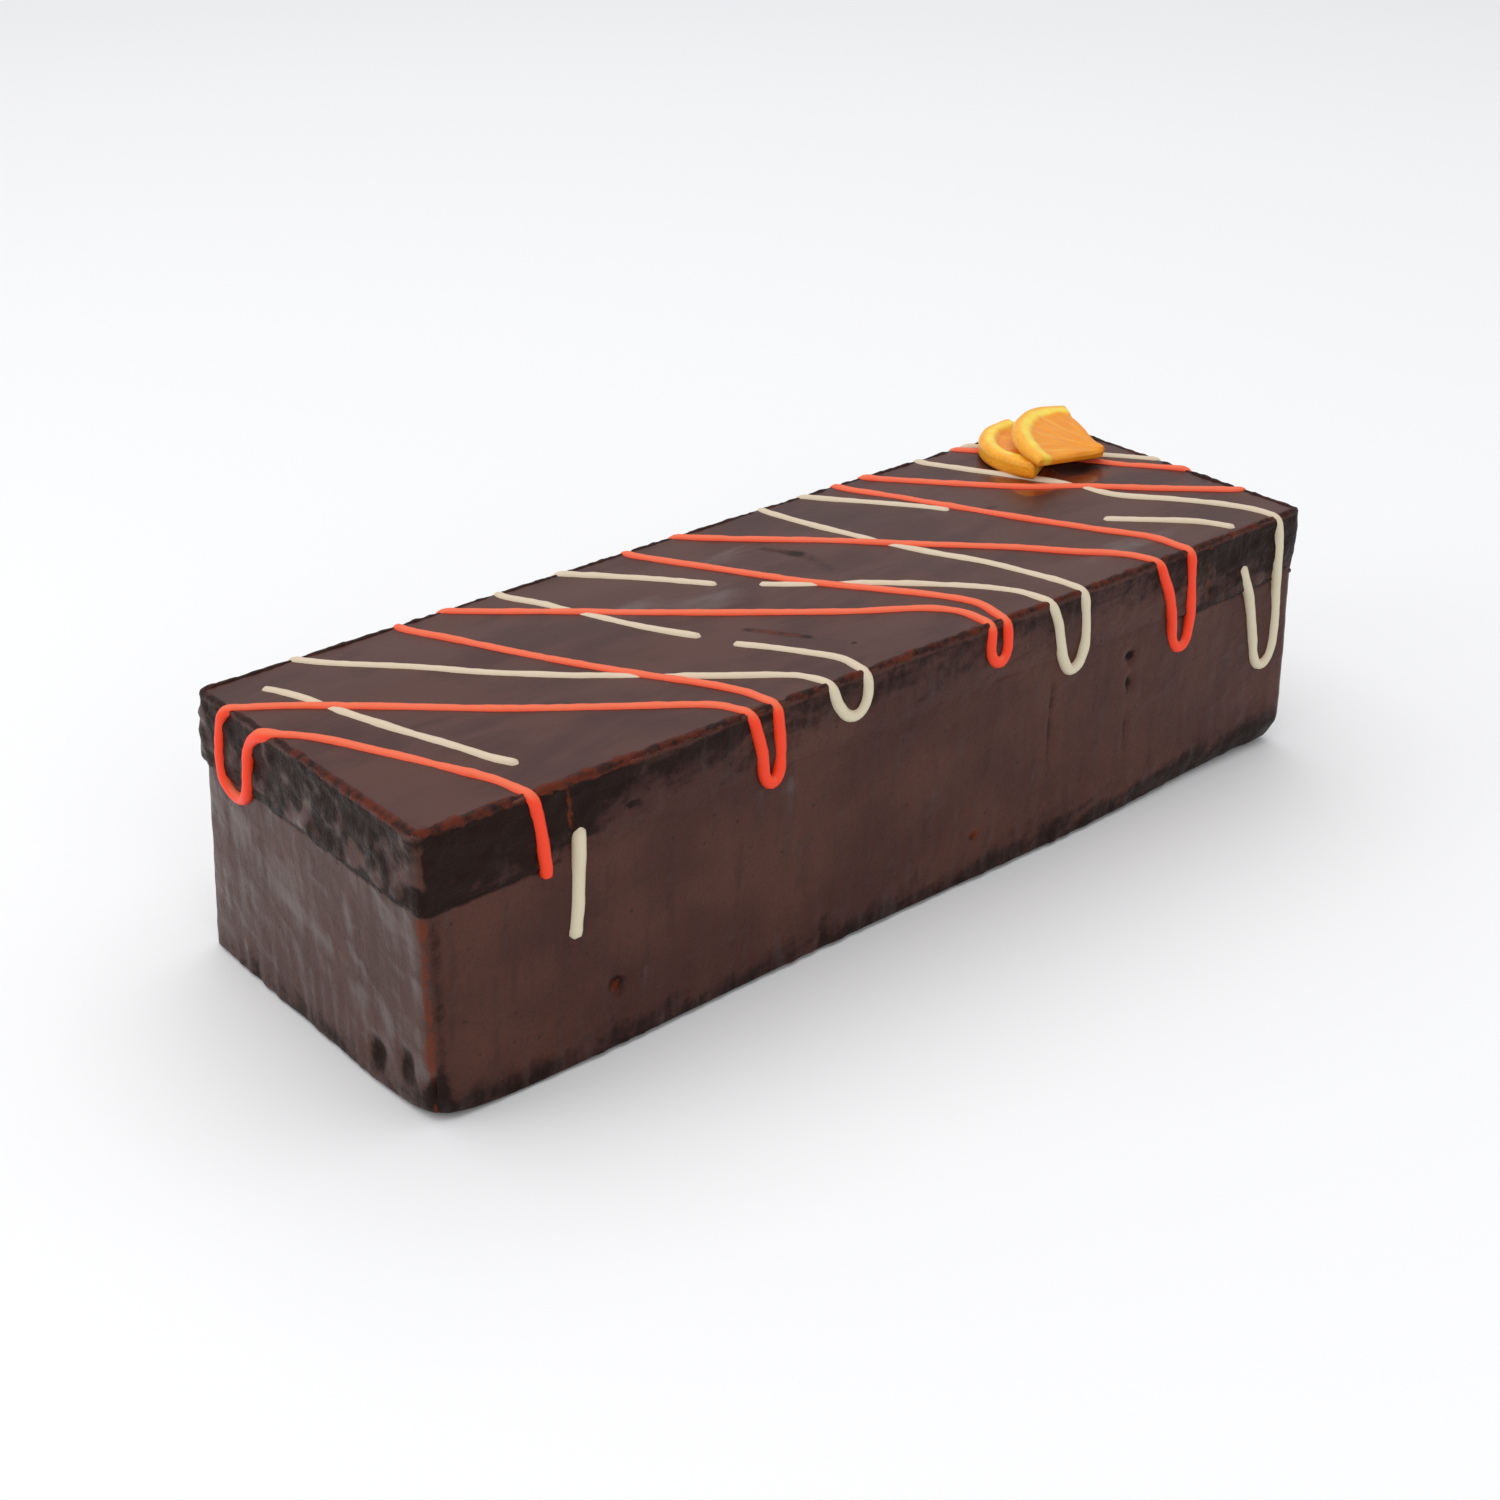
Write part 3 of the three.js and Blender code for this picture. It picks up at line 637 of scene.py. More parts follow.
# Marks drawn across the top: kind, one end and the other, reach to each side, and strength
STREAKS = (
    # Dark lines drawn on the top, and a painted red-brown glow along two of them
    ("dark_and_shade", (-26, -12.6), (-16.7, -26), 1.5, 0.8),
    ("painted_glow", (-25, -14), (-18, -24), 1.2, 0.95),
    ("dark_and_shade", (12.5, 26.2), (16.8, 17.6), 1.8, 0.7),
    ("painted_glow", (12.5, 26.2), (16.8, 17.6), 1.2, 0.7),
    ("dark_and_shade", (17.6, 16.9), (16.8, 3.7), 4, 0.45),
    ("dark_and_shade", (-10.5, -36), (-10.4, -36.2), 0.8, 1.2),
)


def along_streak(places, start, end, reach):
    """1 along a line across the top, fading away to both sides of it."""
    start, run = np.array(start), np.subtract(end, start)
    away = places[:, :2] - start
    share = np.clip(away @ run / (run @ run), 0, 1)
    apart = np.hypot(*(away - share[:, None] * run).T)
    return np.exp(-((apart / reach) ** 2)) * fade(places[:, 2], HEIGHT - 3, HEIGHT - 1)


def standing_proud(places):
    """Where the upper layer's lip stands out over the lower layer: not along the middle of the front."""
    x, y = places[:, 0], places[:, 1]
    right = fade(x, 92, 106) * (1 - fade(x, 132, 144))
    ends = np.maximum(1 - fade(x, -122, -106), right)
    return np.where(y < 0, ends, np.maximum(ends, 0.6))


def rim_strength(places):
    """How wide the rim is and how strong its painted red-brown glow: most round the near corner, least
    along the back.
    """
    x, y = places[:, 0], places[:, 1]
    front = 0.75 + 0.25 * (1 - fade(x, -105, -60))
    left = 0.5 + 0.4 * (1 - fade(y, -30, 20))
    strength = np.where(y > HALF_WIDTH - 6, 0.35, front)
    strength = np.where(x > HALF_LENGTH - 6, 0.5, strength)
    return np.where(x < 6 - HALF_LENGTH, left, strength)


def mark(piece, places, hollows):
    """Keeps in the mesh, at each of its points, how dark and shaded the chocolate is, how strong its
    painted red-brown glow and painted sheen are, and how wet it is.
    """
    x, y, z = places.T
    ragged = 1.6 * grain(places, (9, 9, 7), 11.0) + 0.9 * grain(places, (3, 3, 3), 12.0)
    mottled = grain(places, (4.2, 4.2, 5.5), 16.0)
    strength = rim_strength(places)

    # Where along and across the bar
    end = fade(np.abs(x), HALF_LENGTH - 3, HALF_LENGTH - 1.5)
    side = 1 - end
    near = 1 - fade(x + 5 * ragged, -118, -88)
    leftward = 1 - fade(x, -110, -30)
    from_corner = np.hypot(x + HALF_LENGTH, y + HALF_WIDTH)
    from_edge = np.minimum(HALF_LENGTH - np.abs(x), HALF_WIDTH - np.abs(y))

    # How high up the walls
    below_lid = 1 - fade(z, HEIGHT - 1.4, HEIGHT - 0.6)
    edge = SEAM + 0.5 + ragged
    band = fade(z, edge - 1.2, edge + 1.8) * below_lid
    end_band = end * band
    drawn_down = fade(z + 1.5 * ragged, SEAM - 3, HEIGHT - 3) * below_lid
    foot = 1 - fade(z + 0.8 * ragged, 1, 15)
    base_end = end * (1 - fade(z, SEAM - 3, SEAM + 2))
    rightward = fade(x, 92, 112) * fade(z, SEAM - 1, SEAM + 3) * below_lid

    # Darker: the upper layer's walls, its band near the left end and on the ends, the foot, the right
    # end's band and a strip beside the near corner; painted shade in the hollows
    dark_and_shade = drawn_down * (0.46 + 0.15 * leftward) * (1 - 0.5 * end)
    dark_and_shade += 0.5 * band * side * near + (0.45 + 0.4 * mottled) * end_band
    dark_and_shade += (0.62 - 0.1 * end) * foot + 0.6 * hollows + 0.45 * rightward
    dark_and_shade += 0.5 * close_to(from_corner, 4.5, 2) * side
    # Painted shade in the seam under the upper layer's lip
    dark_and_shade += 1.1 * close_to(z, SEAM + 0.3, 0.9) * standing_proud(places)
    # Painted shade just below the top edge
    dark_and_shade += 0.25 * close_to(z, HEIGHT, 5) * below_lid

    # Painted glow: a broken red-brown line up the near corner, along the top edge and along the upper
    # layer's lower edge near the left end
    broken = 0.55 + 0.45 * fade(grain(places, (5, 5, 12), 14.0), -0.6, 0.3)
    painted_glow = 1.2 * close_to(from_corner + 0.4 * ragged, 1.6, 1.15) * broken * (1 - fade(z, 52, 56))
    painted_glow += 0.6 * close_to(z, HEIGHT - 0.8, 1.4) * strength * (1 - fade(from_edge, 0.5, 2))
    painted_glow += 0.4 * close_to(z, edge + 0.8, 1.2) * near * side

    # Painted sheen: grey and light on the walls, the lower part of the ends and the front of the foot,
    # mottled on the ends' upper band
    sheen = 0.2 * below_lid + 0.28 * base_end - 0.3 * mottled * end_band + (0.25 - 0.5 * end) * foot

    marks = {"dark_and_shade": dark_and_shade, "painted_glow": painted_glow, "sheen": sheen, "syrup": np.zeros_like(x)}
    for kind, start, finish, reach, strength in STREAKS:
        marks[kind] += strength * along_streak(places, start, finish, reach)
    for kind, centre, reach, strength in SPOTS:
        marks[kind] += strength * bump_at(places, centre, reach)
    for kind, values in marks.items():
        carry(piece, kind, np.clip(values, 0, 1))


def lower_layer(paint):
    low = (-HALF_LENGTH + OVERHANG, -HALF_WIDTH + OVERHANG, 0)
    high = (HALF_LENGTH - OVERHANG, HALF_WIDTH - OVERHANG, SEAM + 4)
    piece, places, faces = soft_block("cake_block", low, high, LOWER_GRAIN)
    y, z = places.T[1:]
    wall = np.abs(faces[:, 2]) < 0.7
    foot = 0.3 + 0.7 * np.exp(-z / 15)
    streaks = grain(places, (3.4, 3.4, 60)) + 0.6 * grain(places, (7.5, 7.5, 80), 5.0)
    relief = 0.3 * foot * streaks + 0.25 * grain(places, (38, 38, 24), 9.0)
    relief += 0.1 * grain(places, (4, 4, 4), 3.0) - 0.25 + 0.3 * (1 - standing_proud(places))
    relief -= 0.45 * fade(y, HALF_WIDTH - 10, HALF_WIDTH - 3)
    for centre, reach, depth in DENTS:
        relief -= depth * bump_at(places, centre, reach)
    mark(piece, places, fade(-streaks * foot, 0.5, 1.4))
    places += faces * (relief * wall)[:, None]
    places[:, 2] = np.maximum(places[:, 2], 0)
    wear_foot(places)
    put_points(piece, settled(places))
    dress(piece, paint, ["base_layer"])


def wear_foot(places):
    """Draws the foot in, most at the near corner and towards the right end."""
    x, y, z = places.T.copy()
    low = np.interp(z, (0, 2, 7, 14), (1, 0.55, 0.08, 0))
    chipped = low * np.exp(-np.hypot(x + HALF_LENGTH, y + HALF_WIDTH) / CORNER_WEAR_REACH)
    rightward = low * FOOT_WEAR * fade(x, WEAR_START, HALF_LENGTH)
    near_end = fade(x, HALF_LENGTH - 40, HALF_LENGTH)
    places[:, 0] += CORNER_WEAR * chipped - 0.6 * rightward * near_end
    places[:, 1] += CORNER_WEAR * chipped - rightward * y / HALF_WIDTH
    places[:, 2] += CORNER_LIFT * chipped * (1 - fade(z, 7, 14))


def upper_layer(paint):
    low = (-HALF_LENGTH, -HALF_WIDTH, SEAM + 0.1)
    high = (HALF_LENGTH, HALF_WIDTH, HEIGHT)
    piece, places, faces = soft_block("glazed_layer", low, high, UPPER_GRAIN)
    x, y, z = places.T
    wall = 1 - fade(np.abs(faces[:, 2]), 0.5, 0.9)
    lid = fade(faces[:, 2], 0.7, 0.95)
    end = fade(np.abs(x), HALF_LENGTH - 4, HALF_LENGTH - 1)
    right_corner = close_to(np.hypot(x - HALF_LENGTH, y + HALF_WIDTH), 0, 10)
    rough = np.maximum(0.9 * (1 - fade(x, -100, -55)), 0.7 * fade(x, 85, 110))
    rough = np.maximum(rough, end) * (1 - 0.8 * right_corner)
    turned = places @ np.array(Matrix.Rotation(math.radians(24), 3, "Y"))
    strokes = grain(turned, (12, 12, 4.2), 2.0) + 0.7 * grain(places, (4.2, 4.2, 3.4), 6.0)
    strokes += 0.4 * grain(places, (2.2, 2.2, 2.2), 8.0)
    ripples = grain(places, (26, 15, 30), 4.0)
    tucked = 0.85 * (1 - standing_proud(places)) * (1 - fade(z, SEAM, SEAM + 8))
    tucked += 0.7 * right_corner * (1 - fade(z, SEAM, HEIGHT - 4))
    relief = wall * ((0.14 + 0.34 * rough) * strokes - 0.1 - tucked) + lid * (0.14 * ripples - 0.05)
    mark(piece, places, wall * rough * fade(-strokes, 0.2, 1.4))
    places += faces * relief[:, None]
    put_points(piece, settled(places))
    dress(piece, paint, ["top_layer"])


# Strands of icing and the rim of the glaze


def edge_place(edge, along, drop):
    """A place on the bar's unrolled surface, a drop below one of its four top edges."""
    places = {
        "front": (along, -HALF_WIDTH - drop),
        "back": (along, HALF_WIDTH + drop),
        "left": (-HALF_LENGTH - drop, along),
        "right": (HALF_LENGTH + drop, along),
    }
    return places[edge]


def loop(edge, enter, bottom, leave, drop, half=LOOP_HALF):
    """A loop that hangs over an edge: it comes in at one place, swings down and returns at another."""
    reach = half if leave + bottom >= 2 * enter else -half
    turn, shoulder = drop - 0.35 * half, drop - 1.4 * half
    stops = (
        (enter, 0),
        (between(enter, bottom - reach, 0.75), shoulder * 0.5),
        (bottom - reach, shoulder),
        (bottom - 0.75 * reach, turn),
        (bottom, drop),
        (bottom + 0.75 * reach, turn),
        (bottom + reach, shoulder),
        (between(leave, bottom + reach, 0.75), shoulder * 0.5),
        (leave, 0),
    )
    return [edge_place(edge, along, fallen) for along, fallen in stops]


def drip(edge, cross, tip, drop):
    """The end of a strand that hangs over an edge, from where it crosses to its tip."""
    stops = ((cross, 0), (between(cross, tip, 0.6), 0.5), (tip, 1))
    return [edge_place(edge, along, drop * share) for along, share in stops]


def over(edge, *places):
    """A run laid near an edge, each place given along the edge and below it."""
    return [edge_place(edge, along, drop) for along, drop in places]


def route(*stops):
    """The stops of a strand as one list of places, with a long leg kept straight between its ends."""
    places = []
    for stop in stops:
        stop = stop if isinstance(stop, list) else [stop]
        if places:
            last, first = Vector(places[-1]), Vector(stop[0])
            away = (first - last).length
            if away > 4 * LEG_LEAD:
                lead = LEG_LEAD / away
                places += [tuple(last.lerp(first, lead)), tuple(first.lerp(last, lead))]
        places += stop
    return places


ORANGE_ROUTES = (
    route(
        over("front", (-116.4, 22.3), (-117, 15.5), (-117.8, 8), (-118.8, 2.5)),
        (-120.0, -47.9), (-121.1, -40.2), (-123.1, -35.2), (-129.6, -20.6), (-139.8, 1.7), (-143.9, 8.2),
        over("left", (13.2, -1.1), (17.4, 1.8), (20.7, 4.8), (22.5, 9)),
        over("left", (22.9, 14), (23.6, 18.6), (26.4, 22.6)),
        over("left", (30.2, 24), (33.9, 22.9), (36.3, 19.2), (36.9, 14)),
        over("left", (36.6, 8.5), (35.6, 3.5), (33.9, -0.4)),
        (-146.4, 31.2), (-142.2, 27.8), (-125.1, 12.5), (-98.5, -11.6), (-70.2, -33.2), (-62.2, -39.2),
        over("front", (-58.6, -6.8), (-57.1, -2.5), (-55.7, 1.5)),
        over("front", (-54.5, 6.3), (-53.3, 10.5), (-52.8, 15)),
        over("front", (-52.4, 18.6), (-50.4, 21), (-48.2, 19.4), (-47.5, 15)),
        over("front", (-47.6, 9.5), (-48.1, 4.5), (-48.3, 0)),
        (-49.0, -46.2), (-49.5, -41.2), (-52.4, -34.0), (-64.5, -13.9), (-79.8, 15.4), (-86.3, 32.8),
        loop("back", -92.2, -84.5, -77.9, 15),
        (-71.0, 42.8), (-42.5, 14.8), (-6.6, -14.8), (5.7, -24.0),
        (13.0, -28.6), (19.3, -33.4), (23.2, -38.4),
        over("front", (24.4, -7.0), (24.0, -2.8), (24.1, 0)),
        over("front", (23.6, 4), (23.7, 7.5), (24.8, 10.6)),
        over("front", (27, 11.9), (29.1, 10.7), (29.8, 7.5), (29.6, 3.5)),
        over("front", (29.3, -0.3), (29.6, -3.3), (30.9, -7.8)),
        (31.0, -38.5), (25.2, -26.6), (6.5, 0.1), (-2.0, 14.8), (-10.2, 30.7), (-14.5, 39.8),
        loop("back", -18.4, -9, -0.6, 20),
        (8.1, 40.3), (37.9, 10.6), (66.9, -18.9), (77.3, -31.5),
        (83.4, -37.8), (86.8, -43.2), (87.8, -47.4),
        over("front", (88.7, 0.5), (90.3, 4.5), (92.8, 9.5), (94.8, 15)),
        over("front", (96.1, 21), (97.3, 26), (99.4, 29.2)),
        over("front", (101.9, 29.3), (103.5, 26.5), (103.6, 21), (102.9, 15)),
        over("front", (102.3, 9), (101.9, 4), (101.5, -0.7)),
        (101.0, -45.7), (101.3, -41.7), (100.4, -36.4), (93.5, -24.1), (79.3, 4.8), (67.7, 30.3),
        loop("back", 59.4, 65.5, 70.4, 13),
        (77.7, 40.4), (100.9, 14.2), (114.7, 3.0), (133.4, -15.2), (141.0, -22.2),
        loop("right", -29.1, -17.5, -7.1, 22),
        (143.0, 1.0), (137.4, 7.9), (133.0, 15.3),
        drip("back", 108, 106, 12),
    ),
)

CREAM_ROUTES = (
    route(
        (-137.0, 39.0), (-134.2, 31.3), (-127.3, 4.5), (-118.0, -23.5), (-115.9, -30.2), (-112.9, -36.4),
    ),
    route(
        over("front", (-107.3, 12), (-107.6, 19), (-107.8, 26), (-108.5, 33), (-109.8, 40.7)),
    ),
    route(
        drip("back", -122.5, -124.5, 12)[::-1],
        (-117.1, 40.8), (-92.5, 9.9), (-76.8, -5.8), (-48.7, -29.4), (-36.9, -38.8), (-33.5, -42.2),
        over("front", (-31.9, -3.8), (-30.9, -0.3), (-30, 3.8)),
        over("front", (-28.2, 7.5), (-25.9, 10.2), (-23.6, 11.2)),
        over("front", (-21, 10.4), (-19.4, 7.8), (-19.1, 4.5)),
        over("front", (-19.3, 1), (-19.6, -2.5), (-18.7, -6.8)),
        (-19.6, -39.7), (-23.1, -33.5), (-28.6, -24.8), (-34.5, -16.8),
    ),
    route(
        (-37.5, -8.7), (-43.2, 1.4), (-47.0, 9.0), (-56.2, 36.6),
        loop("back", -60.9, -50, -40.4, 16),
        (-33.1, 41.3), (-23.1, 28.0), (-13.2, 14.4),
    ),
    route(
        (-5.0, 8.0), (3.5, 0.7), (14.4, -7.0), (24.4, -15.9),
        (35.5, -27.3), (42.0, -35.7), (45.0, -41.0),
        over("front", (45.6, -4.8), (46.0, -0.7), (47.2, 3), (49, 7)),
        over("front", (50, 12), (51.2, 16.5), (53, 20.5)),
        over("front", (55.9, 22.9), (58.3, 21), (59.6, 17.2), (59.9, 12)),
        over("front", (59.4, 7), (58.8, 2.5), (58.4, -1.4)),
        (58.3, -44.7), (56.6, -36.4), (52.6, -21.5), (45.6, -5.3), (36.5, 21.6), (32.5, 38.8),
        loop("back", 30.9, 39, 46.4, 17),
        (53.2, 40.3), (68.9, 19.0), (72.0, 13.6),
    ),
    route(
        (100.0, -18.6), (108.1, -26.1), (118.9, -36.7), (122.0, -41.8), (124.0, -47.2),
    ),
    route(
        over("front", (124.6, 10.8), (126.5, 15.9), (130.1, 23.4)),
        over("front", (131.8, 30.3), (133.1, 37), (134.1, 42.8)),
        over("front", (136.6, 46.4), (139.6, 45.6), (141.5, 41.5), (142.2, 34)),
        over("front", (142, 26), (140.8, 19), (140.4, 9)),
        over("front", (139.7, 2.4), (139.2, -1.8)),
        (139.3, -44.2), (136.0, -34.2), (126.9, -20.8), (116.6, -6.9), (113.8, 5.8), (98.4, 35.8),
        loop("back", 92.4, 104, 112.9, 14),
        (141.5, 14.3), (145.0, 9.8),
        drip("right", 4, 6, 16),
    ),
)


def smooth_run(stops):
    """Places at even steps along a smooth curve through stops, which is tightest where they are close,
    and how far along it each lies."""
    stops = [Vector(stop) for stop in stops]
    stops = [2 * stops[0] - stops[1], *stops, 2 * stops[-1] - stops[-2]]
    fine = []
    for before, first, second, after in zip(stops, stops[1:], stops[2:], stops[3:]):
        knots = [0]
        for a, b in ((before, first), (first, second), (second, after)):
            knots.append(knots[-1] + max((b - a).length, 1e-6) ** 0.5)
        for share in np.linspace(0, 1, CURVE_STEPS, endpoint=False):
            t = between(knots[1], knots[2], share)
            fine.append(curve_point((before, first, second, after), knots, t))
    fine = rows([*fine, stops[-2]])
    run = length_along(fine)
    even = np.linspace(0, run[-1], max(int(run[-1] / STRAND_STEP), 2) + 1)
    return np.column_stack([np.interp(even, run, fine[:, axis]) for axis in (0, 1)]), even


def curve_point(stops, knots, t):
    """A place on the curve that runs through the second and third of four stops."""
    layer = stops
    for order in (1, 2, 3):
        joined = []
        for i, (first, second) in enumerate(zip(layer, layer[1:])):
            low, high = (knots[i], knots[i + order]) if order < 3 else knots[1:3]
            joined.append(first.lerp(second, (t - low) / (high - low)))
        layer = joined
    return layer[0]


def all_places(routes):
    return np.concatenate([smooth_run(stops)[0] for stops in routes])


def drape(places, top_sink, wall_sink, deeper):
    """Places on the unrolled surface laid on the cake, at their depths below its skin."""
    laid = []
    for (u, v), extra in zip(places, deeper):
        sides = []
        for distance, half in ((u, HALF_LENGTH), (v, HALF_WIDTH)):
            past = abs(distance) - half
            bend = float(np.clip((past + EDGE_ROUNDING) / (2 * EDGE_ROUNDING), 0, 1)) * math.pi / 2
            in_bend = half - EDGE_ROUNDING + EDGE_ROUNDING * math.sin(bend)
            away = abs(distance) if past < -EDGE_ROUNDING else in_bend
            fall = past if past > EDGE_ROUNDING else EDGE_ROUNDING * (1 - math.cos(bend))
            sides.append((math.copysign(1, distance), away, fall, bend))
        (x_side, x, x_fall, x_bend), (y_side, y, y_fall, y_bend) = sides
        z = HEIGHT - x_fall - y_fall
        upward = math.cos(x_bend) * math.cos(y_bend)
        out = Vector((x_side * math.sin(x_bend), y_side * math.sin(y_bend), upward))
        out.normalize()
        swell = SIDE_BOW * (1 - (u / HALF_LENGTH) ** 2) * math.sin(y_bend)
        inward = OVERHANG * (1 - float(fade(z, SEAM - 3.5, SEAM - 0.5)))
        over_edge = OVER_THE_EDGE * max(math.sin(2 * x_bend), math.sin(2 * y_bend))
        sink = between(wall_sink, top_sink, out.z ** 4) + inward + extra - over_edge
        laid.append(Vector((x_side * x, y_side * (y + swell), z)) - out * sink)
    laid = rows(laid)
    for _ in range(SMOOTHING):
        laid[1:-1] = (laid[:-2] + 2 * laid[1:-1] + laid[2:]) / 4
    return laid


def tube(name, runs):
    """Round runs of icing, each a list of places with a radius at each, as one mesh piece."""
    deselect()
    bpy.ops.curve.primitive_nurbs_path_add()
    piece = bpy.context.object
    curve = piece.data
    curve.splines.clear()
    curve.dimensions = "3D"
    curve.bevel_depth = MM
    curve.bevel_resolution = TUBE_SIDES
    curve.use_fill_caps = True
    for places, radii, closed in runs:
        spline = curve.splines.new("POLY")
        spline.points.add(len(places) - 1)
        spline.use_cyclic_u = closed
        for point, place, radius in zip(spline.points, places, radii):
            point.co = (*(part * MM for part in place), 1)
            point.radius = radius
    take(piece)
    bpy.ops.object.convert(target="MESH")
    return settle(bpy.context.object, name)


def strands(name, routes, shape, paint, crossed=()):
    """All the strands of one icing: half sunk, uneven, round at their tips, and dipping under any
    routes that they cross."""
    runs = []
    radius = shape["radius"]
    for number, stops in enumerate(routes):
        places, run = smooth_run(stops)
        alone = run[-1] < LONE_DRIP_LENGTH and places[0][1] < -HALF_WIDTH
        line = np.column_stack([run, run * 0, run * 0])
        uneven = 0.06 * grain(line, (9, 9, 9), 3.0 + number) + 0.04 * grain(line, (3.2, 3.2, 3.2), 5.0)
        tip = quarter_round(np.minimum(run, run[-1] - run) / radius, 0.06)
        deeper = np.zeros(len(places))
        if crossed:
            apart = distance_to(all_places(crossed), places)
            deeper = CROSSING_DIP * close_to(apart, 0, CROSSING_REACH)
        laid = drape(places, shape["top_sink"], shape["wall_sink"], deeper)
        runs.append((laid, radius * (LONE_DRIP_SHARE if alone else 1) * (1 + uneven) * tip, False))
    piece = tube(name, runs)
    places, faces = points_of(piece)
    places += faces * (0.06 * grain(places, (2.6, 2.6, 2.6), 3.0))[:, None]
    put_points(piece, settled(places))
    dress(piece, paint, ["top_layer"])


def rim_line():
    """The line of the glaze's ridge round the top, at even steps, flat and bowed with the sides."""
    outline = []
    for turn, (x_side, y_side) in enumerate(((1, 1), (-1, 1), (-1, -1), (1, -1))):
        radius = CORNERS[x_side, y_side]
        centre = Vector((x_side * (HALF_LENGTH - radius), y_side * (HALF_WIDTH - radius)))
        for angle in np.radians(np.linspace(turn * 90, turn * 90 + 90, 9)):
            outline.append(centre + Vector((math.cos(angle), math.sin(angle))) * (radius - RIM_INSET))
    plan = rows([*outline, outline[0]])
    run = length_along(plan)
    even = np.arange(0, run[-1], RIM_STEP)
    along = [np.interp(even, run, plan[:, axis]) for axis in (0, 1)]
    line = np.column_stack([*along, even * 0])
    bow(line)
    return line


def glaze_rim(paint):
    """The ridge that the glaze left round its top edge, thick and thin by turns."""
    line = rim_line()
    strength = rim_strength(line)
    ragged = grain(line, (7, 7, 7), 1.0) + 0.7 * grain(line, (2.6, 2.6, 2.6), 7.0)
    apart = distance_to(all_places(ORANGE_ROUTES + CREAM_ROUTES), line[:, :2])
    pressed = close_to(apart, 0, RIM_DIP_REACH)
    radii = (0.7 + 0.6 * strength + 0.16 * ragged) * (1 - 0.35 * pressed)
    line[:, 2] = HEIGHT + 0.1 + 0.15 * strength - 0.8 * radii + 0.1 * ragged - 0.3 * pressed
    piece = tube("glaze_rim", [(line, radii, True)])
    places, faces = points_of(piece)
    crumbs = grain(places, (2.4, 2.4, 2.0), 4.0) + 0.6 * grain(places, (1.2, 1.2, 1.2), 9.0)
    places += faces * (crumbs * (0.1 + 0.18 * rim_strength(places)))[:, None]
    put_points(piece, settled(places))
    # Painted red-brown glow along the rim, strongest round the near corner
    carry(piece, "painted_glow", np.clip(rim_strength(places) * (0.75 + 0.3 * crumbs), 0, 1))
    dress(piece, paint, ["top_layer"])


# Candied orange slices


def spun_wedge(name, radius, start, end):
    """A wedge spun about Z from an upright section, with a small round tip, its top at 0."""
    deselect()
    bpy.ops.mesh.primitive_grid_add(x_subdivisions=SLICE_COLUMNS, y_subdivisions=SLICE_LEVELS, size=1)
    piece = settle(bpy.context.object, name)
    flat = points_of(piece)[0] * MM + 0.5
    reach = SLICE_TIP + (radius - SLICE_TIP) * flat[:, 0]
    first = math.radians(start)
    height = (flat[:, 1] - 1) * SECTION_DEPTH
    put_points(piece, np.column_stack([reach * math.cos(first), reach * math.sin(first), height]))
    take(piece)
    bpy.ops.object.mode_set(mode="EDIT")
    bpy.ops.mesh.select_all(action="SELECT")
    sweep = math.radians(end - start)
    bpy.ops.mesh.spin(steps=SLICE_STEPS, angle=-sweep, center=(0, 0, 0), axis=(0, 0, 1))
    bpy.ops.mesh.select_all(action="SELECT")
    bpy.ops.mesh.normals_make_consistent(inside=False)
    bpy.ops.object.mode_set(mode="OBJECT")
    return piece


def orange_slice(
    name, node, centre, radius, start, end, rise, lean, rind_depth, tip_depth, thicken, dip
):
    """A slice of fruit, shaped to rind, pith and sunken flesh, then laid in place."""
    piece = spun_wedge(name, radius, start, end)
    places = points_of(piece)[0]
    out = np.hypot(places[:, 0], places[:, 1]) / radius
    angle = np.degrees(np.arctan2(places[:, 1], places[:, 0])) % 360
    share = (angle - start) / (end - start)
    level = places[:, 2] / SECTION_DEPTH + 1
    depth = tip_depth + (rind_depth + thicken * (1 - share) - tip_depth) * out
    flesh = (radius - RIND - PITH) / radius
    sunk = dip * (1 - fade(out, flesh - 0.06, flesh + 0.05)) * fade(out, 0, 0.2)
    from_cut = np.minimum(share, 1 - share) * math.radians(end - start) * out * radius
    rounded = quarter_round((radius - out * radius) / PEEL_ROUNDING)
    rounded = np.minimum(rounded, 0.35 + 0.65 * fade(from_cut, -0.2, 1.0))
    fibres = np.column_stack([out * 4, share * (end - start) / 5, share * 0])
    lumps = grain(places, (5, 5, 5), 1.0)
    furrows = grain(fibres, (1, 1, 1), 3.0) * (1 - fade(out, flesh - 0.05, flesh + 0.05))
    top = -sunk - PEEL_ROUNDING * (1 - rounded) + 0.16 * lumps + 0.14 * furrows
    foot = -depth + 1.1 * (1 - rounded)
    places[:, 2] = between(foot, top, level)
    carry(piece, "out", out)
    carry(piece, "turn", share)
    carry(piece, "under", 1 - level)
    put_points(piece, places)
    risen = Matrix.Rotation(math.radians(rise), 4, "X")
    leaned = Matrix.Rotation(math.radians(lean), 4, "Y")
    piece.data.transform(Matrix.Translation(Vector(centre) * MM) @ risen @ leaned)
    paint = orange_fruit_paint(name.replace("_", " "), radius)
    dress(piece, paint, [node])


# Studio


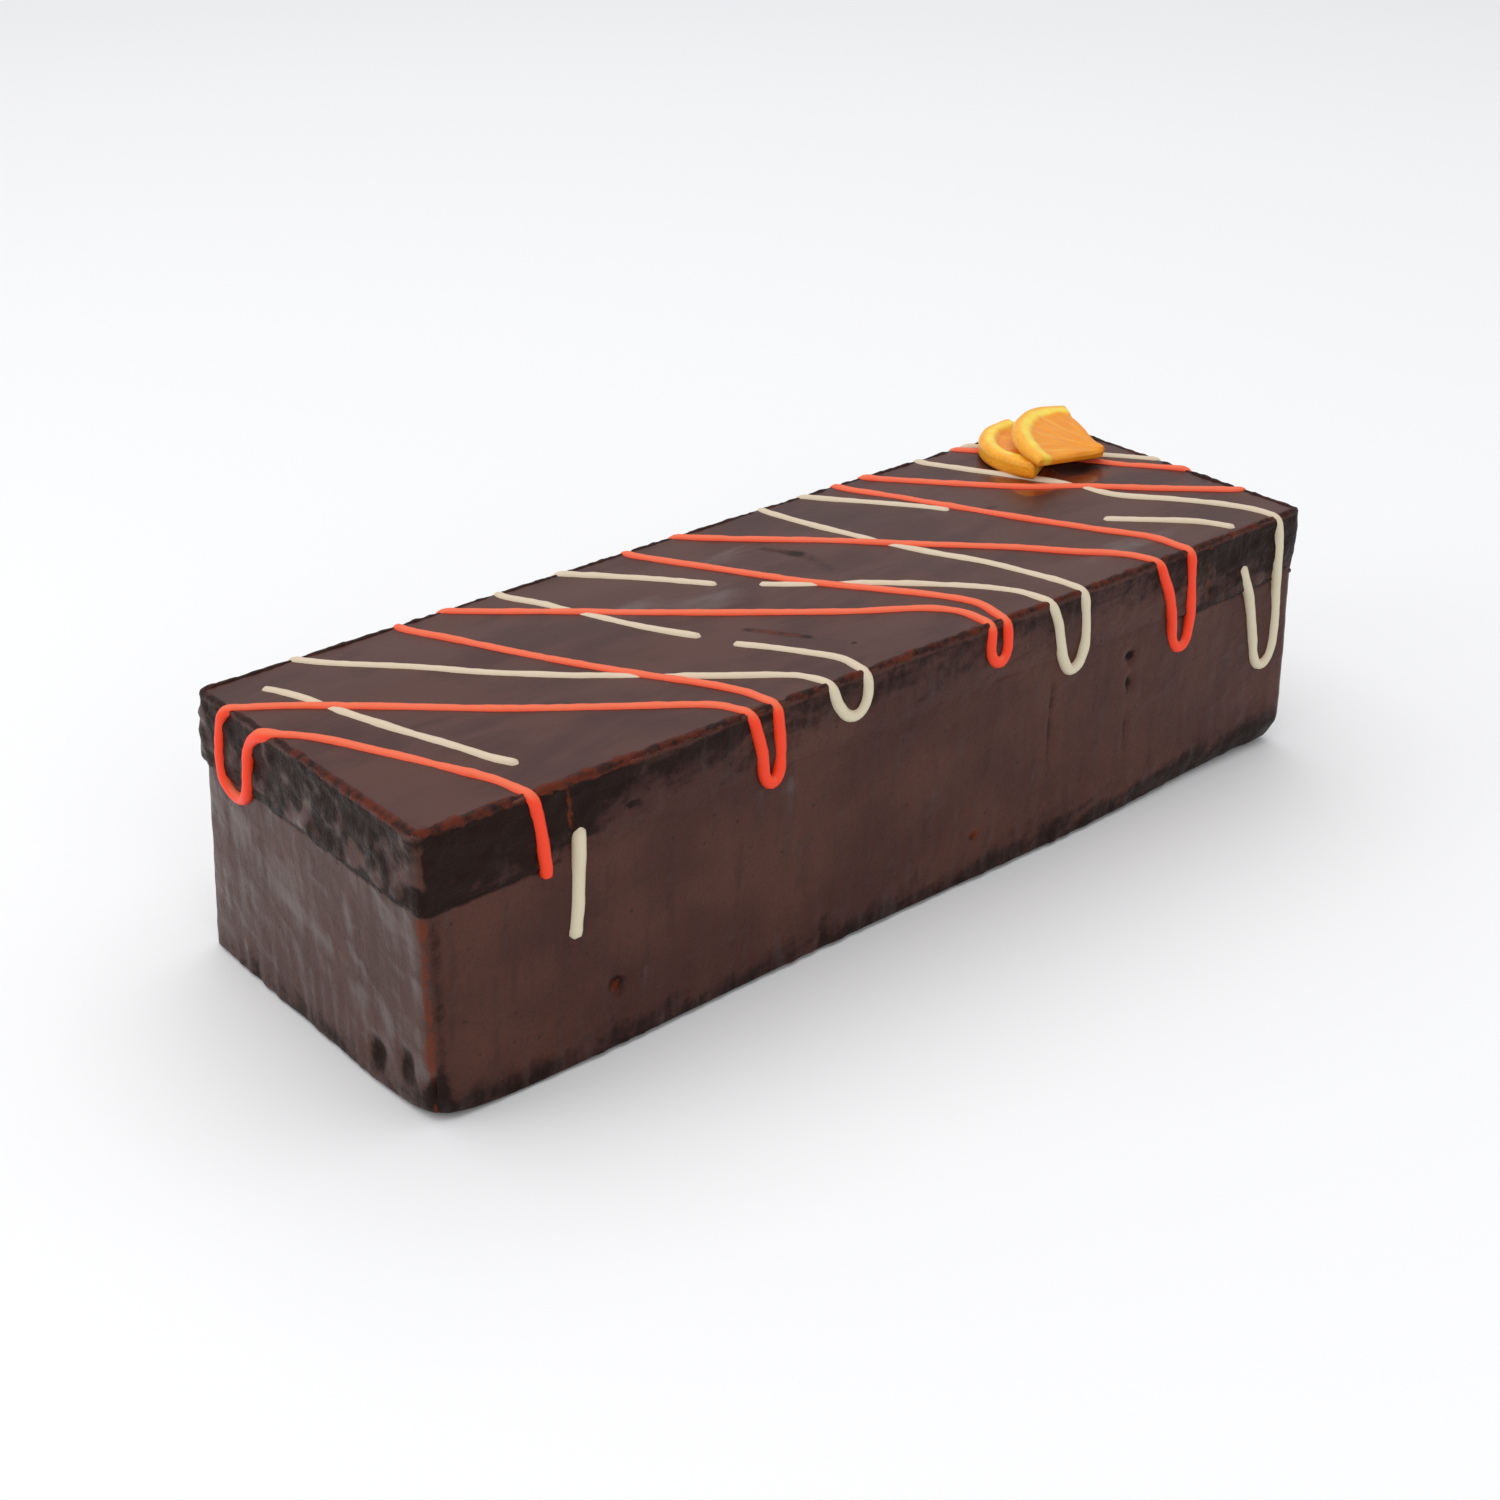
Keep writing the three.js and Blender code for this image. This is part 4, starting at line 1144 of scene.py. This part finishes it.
def soft_light(name, place, size, power):
    deselect()
    bpy.ops.object.light_add(type="AREA", location=place)
    lamp = bpy.context.object
    lamp.name = name
    lamp.data.shape = "RECTANGLE"
    lamp.data.size, lamp.data.size_y = size
    lamp.data.energy = power
    lamp.rotation_euler = (Vector(AIM) - Vector(place)).to_track_quat("-Z", "Y").to_euler()


def studio():
    deselect()
    bpy.ops.mesh.primitive_plane_add(size=FLOOR_SIZE, location=(0, 0, -FLOOR_DROP))
    floor = bpy.context.object
    floor.name = "pale_floor"
    paint = Paint("pale floor", Roughness=0.9)
    floor.data.materials.append(paint.finish(Base_Color=(0.96, 0.96, 0.96, 1)).material)
    world = bpy.data.worlds.new("studio air")
    world.use_nodes = True
    background = world.node_tree.nodes["Background"].inputs
    background["Color"].default_value = (0.96, 0.97, 1, 1)
    background["Strength"].default_value = AIR_STRENGTH
    bpy.context.scene.world = world
    for name, (place, size, power) in LIGHTS.items():
        soft_light(name, place, size, power)
    bpy.context.scene.view_settings.view_transform = "Standard"


def photo_camera():
    """The camera at the photograph's place: 50 degrees from the bar's run, 27 degrees down."""
    bpy.ops.object.camera_add(location=CAMERA_PLACE)
    camera = bpy.context.object
    camera.name = "photo_camera"
    camera.rotation_euler = (math.radians(90 - CAMERA_DOWN), 0, math.radians(CAMERA_TURN - 90))
    camera.data.sensor_width = 36
    camera.data.lens = CAMERA_LENS
    bpy.context.scene.camera = camera


lower_layer(chocolate_paint("chocolate cake", 0.42))
upper_layer(chocolate_paint("chocolate glaze", 0.34))
glaze_rim(rim_paint())
orange_paint = icing_paint("orange icing", ORANGE_CROWN_SHEEN, ORANGE_SIDE)
cream_paint = icing_paint("cream icing", CREAM_CROWN, CREAM_SIDE)
strands("orange_strands", ORANGE_ROUTES, ORANGE_STRAND, orange_paint)
strands("cream_strands", CREAM_ROUTES, CREAM_STRAND, cream_paint, ORANGE_ROUTES)
orange_slice("flat_slice", "orange_slice_flat", **FLAT_SLICE)
orange_slice("leaning_slice", "orange_slice_leaning", **LEANING_SLICE)
studio()
photo_camera()
